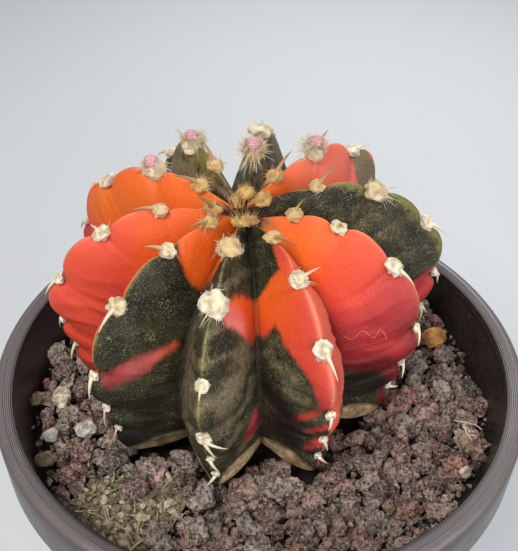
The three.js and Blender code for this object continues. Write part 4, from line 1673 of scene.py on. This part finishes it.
    def build(self, finish: Material) -> Piece:
        """Makes the skin, closed at the crown and under the foot."""
        points = self.flat + self.normals(self.flat) * self.relief()[..., None]
        layers = self.pigments(points)
        columns = points.shape[1]
        neck = np.array([*self.form.stem, self.form.root_top - self.neck_drop])
        hem = points[-1]
        under = [hem + (neck - hem) * share for share in self.under_shares]
        crown = np.array([*self.form.stem, self.form.crown + 0.1])
        rows = np.vstack([points.reshape(-1, 3), *under, crown[None], neck[None]])
        faces = wrap(self.rows + len(under), columns)
        hidden = np.ones(len(under) * columns + 2)
        tail = {"green": 1.0, "blush": 0.5, "bronze": 0.4, "night": 0.5, "cork": 1.0}
        painted = {
            name: np.concatenate([layer.ravel(), tail.get(name, 0.0) * hidden])
            for name, layer in layers.items()
        }
        return make_piece("cactus_skin", rows, faces, finish, painted)


BUDDED = ("e1", "f1", "g2", "h1")


@dataclass
class Wools:
    """Cushions of matted wool on the areoles, knotted like curds, with loose fibres round them."""

    form: PlantForm
    spans: tuple[float, ...] = (0, 14, 20, 30, 36, 57)
    sizes: tuple[float, ...] = (1.5, 1.45, 1.5, 1.75, 0.98, 0.7)
    wide: dict[str, float] = field(
        default_factory=lambda: {"a1": 2.0, "a2": 2.2, "a3": 1.2, "a4": 1.3, "d2": 2.2, "f2": 2.2}
    )
    gold: dict[str, float] = field(
        default_factory=lambda: {
            "a1": 0.7, "d2": 0.5, "b1": 0.4, "j2": 0.4, "e1": 0.16, "f1": 0.16, "g2": 0.14, "h1": 0.12,
        }
    )
    bud_size: float = 1.95
    height: float = 0.72
    bud_height: float = 0.95
    knots: int = 90
    fibre_density: float = 5.0e6
    fibre_tilt: float = 1.15

    def radius(self, perch: Perch) -> float:
        """The radius of the cushion on an areole."""
        if perch.key in BUDDED:
            return self.bud_size
        return self.wide.get(perch.key, float(np.interp(perch.along, self.spans, self.sizes)))

    def youth(self, perch: Perch) -> float:
        """1 at the crown and 0 from a third of the way down."""
        return max(1 - float(smooth(perch.along, 5, 24)), self.gold.get(perch.key, 0.0))

    def lump(self, shape: Array, perch: Perch, seed: int) -> tuple[Array, Array]:
        """The points of one cushion, and how much painted shade each gets low between its knots."""
        rng = np.random.default_rng(seed)
        knots = unit(rng.normal(size=(self.knots, 3))) * rng.uniform(0.66, 0.84, (self.knots, 1))
        sizes = rng.uniform(0.13, 0.27, self.knots)
        ahead = shape @ knots.T
        chord = sizes**2 - ((knots**2).sum(1) - ahead**2)
        reach = np.where(chord > 0, ahead + np.sqrt(np.maximum(chord, 0)), 0).max(1)
        reach = np.maximum(reach, 0.76)
        reach = reach * (1 + 0.16 * rough_noise(shape * 10, 7.0, seed, 2))
        tall, shade = (self.bud_height, 0.3) if perch.key in BUDDED else (self.height, 1.0)
        size = self.radius(perch)
        local = shape * reach[:, None] * (*rng.uniform(0.95, 1.12, 2), tall) * size
        # painted shade, deepest low between knots and weaker on the buds' cushions
        return perch.place(local, size * 0.2), shade * (1 - smooth(reach, 0.74, 0.94))

    def build(self, finish: Material) -> list[Piece]:
        """Makes the cushions as one piece and their fibres as another."""
        shape, faces = ball(3)
        perches = list(self.form.perches().values())
        lumps = [self.lump(shape, perch, 100 + number) for number, perch in enumerate(perches)]
        points, joined, owner = gather((lump, faces) for lump, _ in lumps)
        top = np.tile(shape[:, 2], len(perches))
        layers = {
            "youth": np.array([self.youth(perch) for perch in perches])[owner],
            "yolk": smooth(top, 0.45, 0.95),
            "cleft": np.concatenate([cleft for _, cleft in lumps]),
            "nap": smooth(top, -0.5, 0.1) * (1 - 0.6 * smooth(top, 0.4, 0.9)),
            "reach": np.array([self.radius(perch) / 1.6 for perch in perches])[owner],
        }
        made = [make_piece(name, points, joined, finish, layers) for name in ("areole_wool", "areole_fibres")]
        kinds = self.fibre_kinds()
        Fibres().apply(
            made[1], Density=self.fibre_density, Tilt=self.fibre_tilt, Shapes=kinds, Finish=finish
        )
        return made

    @staticmethod
    def fibre_kinds() -> bpy.types.Collection:
        """A few curled fibres that stand along Z."""
        kinds = []
        for seed in range(6):
            rng = np.random.default_rng(400 + seed)
            share = np.linspace(0, 1, 4)
            curl = rng.uniform(0.2, 0.7)
            line = np.stack([curl * share**2, 0.3 * curl * np.sin(4 * share), 0.95 * share], -1)
            kinds.append(strand(line, 0.042 * (1 - 0.6 * share), 3))
        return shelf("wool_fibres", kinds, True)


class Fibres(Rule):
    """The rule that stands fibres on a surface, where its nap is painted."""

    def __init__(self) -> None:
        super().__init__(
            "standing_fibres",
            {
                "Density": "NodeSocketFloat", "Tilt": "NodeSocketFloat",
                "Shapes": "NodeSocketCollection", "Finish": "NodeSocketMaterial",
            },
        )
        bench = self.bench
        thinned = Signal(bench, self["Density"]) * self.named("nap", "FLOAT")
        spots = bench.node(
            "GeometryNodeDistributePointsOnFaces",
            {"distribute_method": "RANDOM"},
            {"Mesh": self["Geometry"], "Density": thinned, "Seed": 5},
        )
        lean = self.sway()
        back = bench.node("ShaderNodeVectorMath", {"operation": "MULTIPLY"}, {0: lean, 1: (-1.0, -1.0, 0.0)})
        turn = self.chance("FLOAT_VECTOR", back.outputs[0], lean, 8)
        facing = bench.node(
            "FunctionNodeRotateRotation",
            {"rotation_space": "LOCAL"},
            {"Rotation": spots.outputs["Rotation"], "Rotate By": turn},
        )
        length = Signal(bench, self.chance("FLOAT", 0.5, 1.3, 9)) * self.named("reach", "FLOAT")
        self.finish(self.copies(spots.outputs["Points"], facing.outputs[0], length), self["Finish"])


@dataclass(frozen=True)
class Lean:
    """A spine's way out: its clock angle from down the edge, its lift off the skin and its length."""

    clock: float
    lift: float
    length: float


# The spines that the photo shows on each areole, with the fields of Lean.
SPINES = {
    "j0": ((5, 15, 5.5),), "j1": ((335, 40, 3.8),), "j2": ((20, 25, 5.0),), "j3": ((10, 15, 3.2),),
    "j4": ((0, 15, 4.0),), "j5": ((345, 15, 4.5),), "i1": ((10, 15, 4.2),), "i2": ((300, 15, 2.4),),
    "i3": ((5, 15, 3.4),), "i4": ((340, 20, 2.4),), "i5": ((40, 30, 2.4),), "h0": ((45, 25, 5.0),),
    "h1": ((30, 15, 3.2),), "h2": ((30, 15, 2.8),), "g2": ((15, 30, 5.5), (200, 25, 4.0)),
    "f1": ((0, 50, 3.0),), "f2": ((0, 40, 2.2),), "e0": ((355, 30, 4.6),), "e1": ((10, 40, 4.6),),
    "d1": ((5, 40, 4.6),), "d2": ((350, 35, 3.2),), "d3": ((300, 25, 4.0),), "c0": ((60, 30, 2.2),),
    "c1": ((270, 40, 2.6),), "c2": ((330, 20, 4.0),), "c3": ((300, 15, 2.4),), "c4": ((320, 20, 2.0),),
    "c5": ((60, 30, 2.2),), "b1": ((10, 15, 5.0),), "b2": ((95, 20, 3.2),), "b3": ((0, 25, 4.6),),
    "b4": ((340, 20, 1.6),), "b5": ((15, 15, 2.0),), "a0": ((0, 30, 2.4),),
    "a1": ((35, 10, 3.0), (325, 10, 3.0)), "a2": ((340, 10, 3.4),), "a3": ((0, 15, 1.4),),
    "a4": ((30, 15, 3.4), (95, 15, 3.4)),
}


@dataclass
class Spines:
    """The spines, drawn out of the wool and bent a little back to the skin."""

    form: PlantForm
    radius: float = 0.36
    hidden: float = 1.1
    arch: float = 0.25
    sag: float = 0.28
    thin: tuple[str, ...] = ("a1", "a2", "i4", "j5", "j4")
    steps: int = 10
    sides: int = 8
    seed: int = 12

    def spine(self, perch: Perch, lean: Lean) -> Strand:
        """One curved, tapered spine."""
        clock, lift = math.radians(lean.clock), math.radians(lean.lift) + self.arch
        aim = math.sin(lift) * perch.out + math.cos(lift) * perch.toward(clock)
        share = np.linspace(0, 1, self.steps)[:, None]
        length = lean.length + self.hidden
        line = perch.at + 0.5 * perch.out + length * (share * aim - self.sag * share**2 * perch.out)
        thick = self.radius * (0.45 if perch.key in self.thin else min(1.1, 0.6 + lean.length / 9))
        taper = thick * (1 - 0.93 * share[:, 0] ** 1.3)
        return strand(line, taper, self.sides)

    def leans(self, perch: Perch, rng: np.random.Generator) -> tuple[Lean, ...]:
        """The spines of an areole, drawn at random where the plant's far side isn't known."""
        if perch.key in SPINES:
            return tuple(Lean(*lean) for lean in SPINES[perch.key])
        if perch.along < 3:
            return ()
        count = 1 + int(rng.random() < 0.25)
        length = 4.2 if perch.along < 40 else 2.6
        return tuple(
            Lean(rng.normal(0, 35), rng.uniform(12, 38), length * rng.uniform(0.7, 1.2)) for _ in range(count)
        )

    def build(self, finish: Material) -> Piece:
        """Makes all the spines as one piece."""
        rng = np.random.default_rng(self.seed)
        grown = [(perch, lean) for perch in self.form.perches().values() for lean in self.leans(perch, rng)]
        shapes = [self.spine(perch, lean) for perch, lean in grown]
        points, faces, owner = gather(shapes)
        youth = np.array([1 - float(smooth(perch.along, 10, 26)) for perch, _ in grown])[owner]
        along = np.concatenate([share for _, _, share in shapes])
        return make_piece("spines", points, faces, finish, {"along": along, "youth": youth})


@dataclass
class Crown:
    """The growing point: short dark bristles packed between the youngest wool."""

    form: PlantForm
    bristles: int = 110
    spread: float = 2.4
    radius: float = 0.12
    seed: int = 31

    def build(self, finish: Material) -> Piece:
        """Makes the bristles as one piece."""
        rng = np.random.default_rng(self.seed)
        shapes = []
        for _ in range(self.bristles):
            turn, out = rng.uniform(0, TAU), self.spread * math.sqrt(rng.random())
            foot = np.array([math.cos(turn) * out, math.sin(turn) * out, 0.0])
            start = foot + [*self.form.stem, self.form.crown + 0.2]
            aim = unit(foot * rng.uniform(0.2, 0.8) + [0, 0, 1.0])
            share = np.linspace(0, 1, 5)[:, None]
            line = start + aim * share * rng.uniform(1.8, 3.0)
            shapes.append(strand(line, self.radius * (1 - 0.85 * share[:, 0]), 5))
        points, faces, _ = gather(shapes)
        return make_piece("crown_bristles", points, faces, finish)


@dataclass
class Buds:
    """Flower buds, each a packed ball of scales."""

    form: PlantForm
    radius: float = 1.2
    lift: float = 2.05
    rows: float = 2.4
    leaves: float = 3.5

    def build(self, finish: Material) -> list[Piece]:
        """Makes each bud as its own piece."""
        shape, faces = ball(4)
        turn = np.arctan2(shape[:, 1], shape[:, 0])
        rows = np.arccos(np.clip(shape[:, 2], -1, 1)) * self.rows
        ring = np.floor(rows)
        leaf = np.abs(np.sin(turn * self.leaves + ring * math.pi / 2))
        step = (rows + 0.55 * leaf) % 1.0
        made = []
        perches = self.form.perches()
        for number, key in enumerate(BUDDED, 1):
            local = shape * (self.radius * (0.95 + 0.12 * step))[:, None] * (1, 1, 1.12)
            points = perches[key].place(local, self.lift)
            made.append(make_piece(f"bud_{number}", points, faces, finish, {"edge": smooth(step, 0.6, 0.95)}))
        return made


@dataclass(frozen=True)
class Tuft:
    """Long loose fibres on one areole: how many, how far they hang, which way and how high they start."""

    key: str
    strands: int
    reach: float
    clock: float
    height: float
    spread: float
    youth: float = 0.3


@dataclass
class Tufts:
    """Straw-like fibres round the buds and the largest cushions."""

    form: PlantForm
    tufts: tuple[Tuft, ...] = (
        Tuft("e1", 300, 3.4, 180, 2.4, 1.8),
        Tuft("f1", 320, 4.2, 180, 2.4, 1.8),
        Tuft("g2", 320, 3.6, 180, 2.4, 1.8),
        Tuft("h1", 240, 1.2, 180, 2.2, 1.8),
        Tuft("a1", 50, 2.2, 0, 1.0, 1.5),
        Tuft("a2", 30, 1.4, 0, 1.0, 1.9),
        Tuft("d2", 70, 2.8, 330, 1.0, 1.7),
        Tuft("f2", 30, 1.0, 180, 1.0, 1.6),
        Tuft("b2", 16, 1.4, 60, 0.8, 1.1),
        Tuft("g1", 60, 1.6, 180, 0.9, 1.1, 0.6),
        Tuft("e0", 50, 1.2, 180, 0.9, 1.1, 0.8),
        Tuft("h0", 50, 1.2, 180, 0.9, 1.1, 0.7),
        Tuft("g0", 80, 1.6, 180, 1.0, 1.1, 1.0),
        Tuft("f0", 80, 1.6, 180, 1.0, 1.1, 1.0),
        Tuft("d0", 70, 1.2, 180, 1.0, 1.1, 1.0),
        Tuft("b0", 70, 1.2, 0, 1.0, 1.1, 1.0),
        Tuft("a0", 60, 1.4, 0, 1.0, 1.1, 1.0),
        Tuft("i0", 50, 1.2, 0, 1.0, 1.1, 0.9),
        Tuft("j0", 40, 1.2, 0, 0.9, 1.2, 0.7),
    )
    radius: float = 0.055
    seed: int = 41

    def build(self, finish: Material) -> Piece:
        """Makes every loose fibre as one piece."""
        rng = np.random.default_rng(self.seed)
        perches = self.form.perches()
        planted = [tuft for tuft in self.tufts for _ in range(tuft.strands)]
        points, faces, owner = gather(self.fibre(perches[tuft.key], tuft, rng) for tuft in planted)
        youth = np.array([tuft.youth for tuft in planted])[owner]
        return make_piece("loose_fibres", points, faces, finish, {"youth": youth, "yolk": 0.3 + 0 * youth})

    def fibre(self, perch: Perch, tuft: Tuft, rng: np.random.Generator) -> Strand:
        """One loose fibre, which bends over to the side that its tuft hangs on."""
        turn, clock = rng.uniform(0, TAU), math.radians(tuft.clock)
        away = perch.toward(turn)
        hang = (0.5 + 0.5 * math.cos(turn - clock)) ** 1.5
        level = rng.uniform(0.15, 1.0)
        start = perch.at + perch.out * tuft.height * level + away * tuft.spread * rng.uniform(0.6, 0.95)
        length = rng.uniform(0.6, 1.2) + tuft.reach * hang * rng.random() ** 1.5
        away = unit(away * (1 - 0.6 * hang) + perch.toward(clock) * hang)
        aim = unit(away * 0.5 + perch.out * (1.0 - 1.05 * hang) + rng.normal(0, 0.13, 3))
        share = np.linspace(0, 1, 6)[:, None]
        drop = tuft.height * 0.22 * hang * length / max(tuft.reach, 1)
        line = start + length * share * aim - drop * share**2 * perch.out
        return strand(line, self.radius * (1 - 0.7 * share[:, 0]), 4)


@dataclass
class Threads:
    """A hair that lies on the side of a rib, and a tangle of dry root threads on the gravel."""

    form: PlantForm
    rib: str = "c"
    route: tuple[tuple[float, float], ...] = (
        (35, 0.86), (36.5, 0.78), (35.2, 0.66), (37.5, 0.56), (36.2, 0.48), (39, 0.42),
    )
    hair_radius: float = 0.02
    hair_lift: float = 0.25
    middle_height: float = 85.0
    tangle: Point = (34.0, -9.4, 73.4)
    roots: int = 5
    root_steps: int = 7
    root_radius: float = 0.085
    seed: int = 9

    def hair(self) -> Strand:
        """The hair, a little off the skin."""
        route = Outline(self.route, 8).points
        index = self.form.number(self.rib)
        line = self.form.skin(index, -route[:, 1], route[:, 0] / self.form.ridge.length)
        middle = np.array([*self.form.stem, self.middle_height])
        line = line + unit(line - middle) * self.hair_lift
        return strand(line, np.full(len(line), self.hair_radius), 4)

    def root(self, rng: np.random.Generator) -> Strand:
        """One dry root thread, which wanders off to the front."""
        steps = np.cumsum(rng.normal((0.25, -0.36, 0.0), (0.42, 0.42, 0.1), (self.root_steps, 3)), axis=0)
        line = np.array(self.tangle) + rng.normal(0, 0.5, 3) * (1, 1, 0.2) + steps
        return strand(line, np.full(len(line), self.root_radius), 5)

    def build(self, finish: Material) -> Piece:
        """Makes the hair and the tangle as one piece."""
        rng = np.random.default_rng(self.seed)
        points, faces, _ = gather([self.hair(), *(self.root(rng) for _ in range(self.roots))])
        layers = {"youth": np.full(len(points), 0.2), "yolk": np.full(len(points), 0.2)}
        return make_piece("threads", points, faces, finish, layers)


def build_root(form: PlantForm, finish: Material) -> Piece:
    """The plant's root, hidden in the potting mix."""
    points, faces = turned([(0, 42.5), (1.6, 44), (4.6, 54), (6.8, 64), (7.5, 70.9), (0, 70.9)], 32)
    count = len(points)
    layers = {name: np.zeros(count) for name in ("green", "rose", "night", "edge", "rim", "cleft")}
    layers |= {"blush": np.full(count, 0.5), "bronze": np.full(count, 0.4), "cork": np.ones(count)}
    return make_piece("tap_root", points + [*form.stem, 0], faces, finish, layers)


# ---------------------------------------------------------------- the room


@dataclass
class Studio:
    """A pale floor, soft light and the camera."""

    at: Point = (-1.34, -108.66, 190.59)
    pitch: float = math.radians(40.47)
    yaw: float = math.radians(0.52)
    roll: float = math.radians(0.55)
    lens: float = 58.8
    sensor: float = 36.0
    floor_radius: float = 2500.0
    floor_steps: int = 96

    def floor(self, finish: Material) -> None:
        """Lays a wide round floor under the pot."""
        rim = self.floor_radius * circle(self.floor_steps)
        make_piece("studio_floor", rim, [list(range(len(rim)))], finish)

    def lamp(self, name: str, at: Point, size: float, power: float, colour: Colour) -> None:
        """Hangs one square soft light that faces the plant."""
        data = bpy.data.lights.new(name, "AREA")
        data.shape = "SQUARE"
        data.size = size * MM
        data.energy = power
        data.color = colour
        place = np.array(at)
        towards = unit(np.array([0, 0, 80.0]) - place)
        side = unit(np.cross(towards, [0, 0, 1.0]))
        up = np.cross(side, towards)
        set_out(name, data).matrix_world = self._pose(place, side, up, -towards)

    @staticmethod
    def _pose(place: Array, right: Array, up: Array, back: Array) -> Matrix:
        """A pose in metres from its three axes."""
        columns = np.stack([right, up, back, place * MM], axis=1)
        return Matrix([*columns.tolist(), [0, 0, 0, 1]])

    def camera(self) -> None:
        """Sets the camera where the photograph was taken from."""
        data = bpy.data.cameras.new("camera")
        data.lens, data.sensor_width = self.lens, self.sensor
        data.clip_start, data.clip_end = 0.005, 20.0
        made = set_out("camera", data)
        level = math.cos(self.pitch)
        look = np.array([math.sin(self.yaw) * level, math.cos(self.yaw) * level, -math.sin(self.pitch)])
        flat = np.array([math.cos(self.yaw), -math.sin(self.yaw), 0.0])
        tall = np.cross(flat, look)
        right = math.cos(self.roll) * flat + math.sin(self.roll) * tall
        up = -math.sin(self.roll) * flat + math.cos(self.roll) * tall
        made.matrix_world = self._pose(np.array(self.at), right, up, -look)
        bpy.context.scene.camera = made

    def light(self) -> None:
        """Lights the room."""
        world = bpy.data.worlds.new("room")
        world.use_nodes = True
        background = world.node_tree.nodes["Background"]
        background.inputs["Color"].default_value = (0.93, 0.95, 1.0, 1.0)
        background.inputs["Strength"].default_value = 0.26
        bpy.context.scene.world = world
        self.lamp("key_light", (-150, -200, 450), 170, 1.6, (1.0, 0.97, 0.93))
        self.lamp("front_light", (60, -380, 230), 280, 0.88, (1.0, 0.98, 0.95))
        self.lamp("fill_light", (340, -180, 240), 260, 0.74, (0.93, 0.96, 1.0))
        self.lamp("back_light", (60, 330, 300), 240, 0.95, (1.0, 1.0, 1.0))
        bpy.context.scene.view_settings.view_transform = "Standard"


# ---------------------------------------------------------------- putting it together


def main() -> None:
    """Builds every piece in order."""
    logging.basicConfig(level=logging.INFO, format="%(name)s: %(message)s")
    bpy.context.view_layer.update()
    studio = Studio()
    studio.camera()
    studio.light()
    studio.floor(Paper().material())

    form = PlantForm()
    declare(Pot().build(Plastic().material()), "pot", "pot")
    peat, lava = Peat().material(), Lava().material()
    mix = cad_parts["potting_mix"].data.materials
    mix.clear()
    mix.append(peat)
    gravel = Gravel(form)
    for layer in gravel.build(lava):
        declare(layer, "lava_gravel", "lava_gravel")
    for layer in MixPatch(gravel).build(peat):
        declare(layer, "potting_mix")
    for pebble in PEBBLES:
        nodes = [pebble.name] if pebble.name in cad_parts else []
        declare(build_pebble(pebble), pebble.slot, *nodes)
    skin, wool = Skin().material(), Wool().material()
    plant = [CactusBody(form).build(skin), build_root(form, skin), *Wools(form).build(wool)]
    plant += [Spines(form).build(Horn().material()), Crown(form).build(Bristle().material())]
    for number, bud in enumerate(Buds(form).build(Petal().material()), 1):
        declare(bud, "bud", f"flower_bud_{number}")
    for piece in (*plant, Tufts(form).build(wool), Threads(form).build(wool)):
        declare(piece, "cactus_skin", "moon_cactus")


if __name__ == "__main__":
    main()
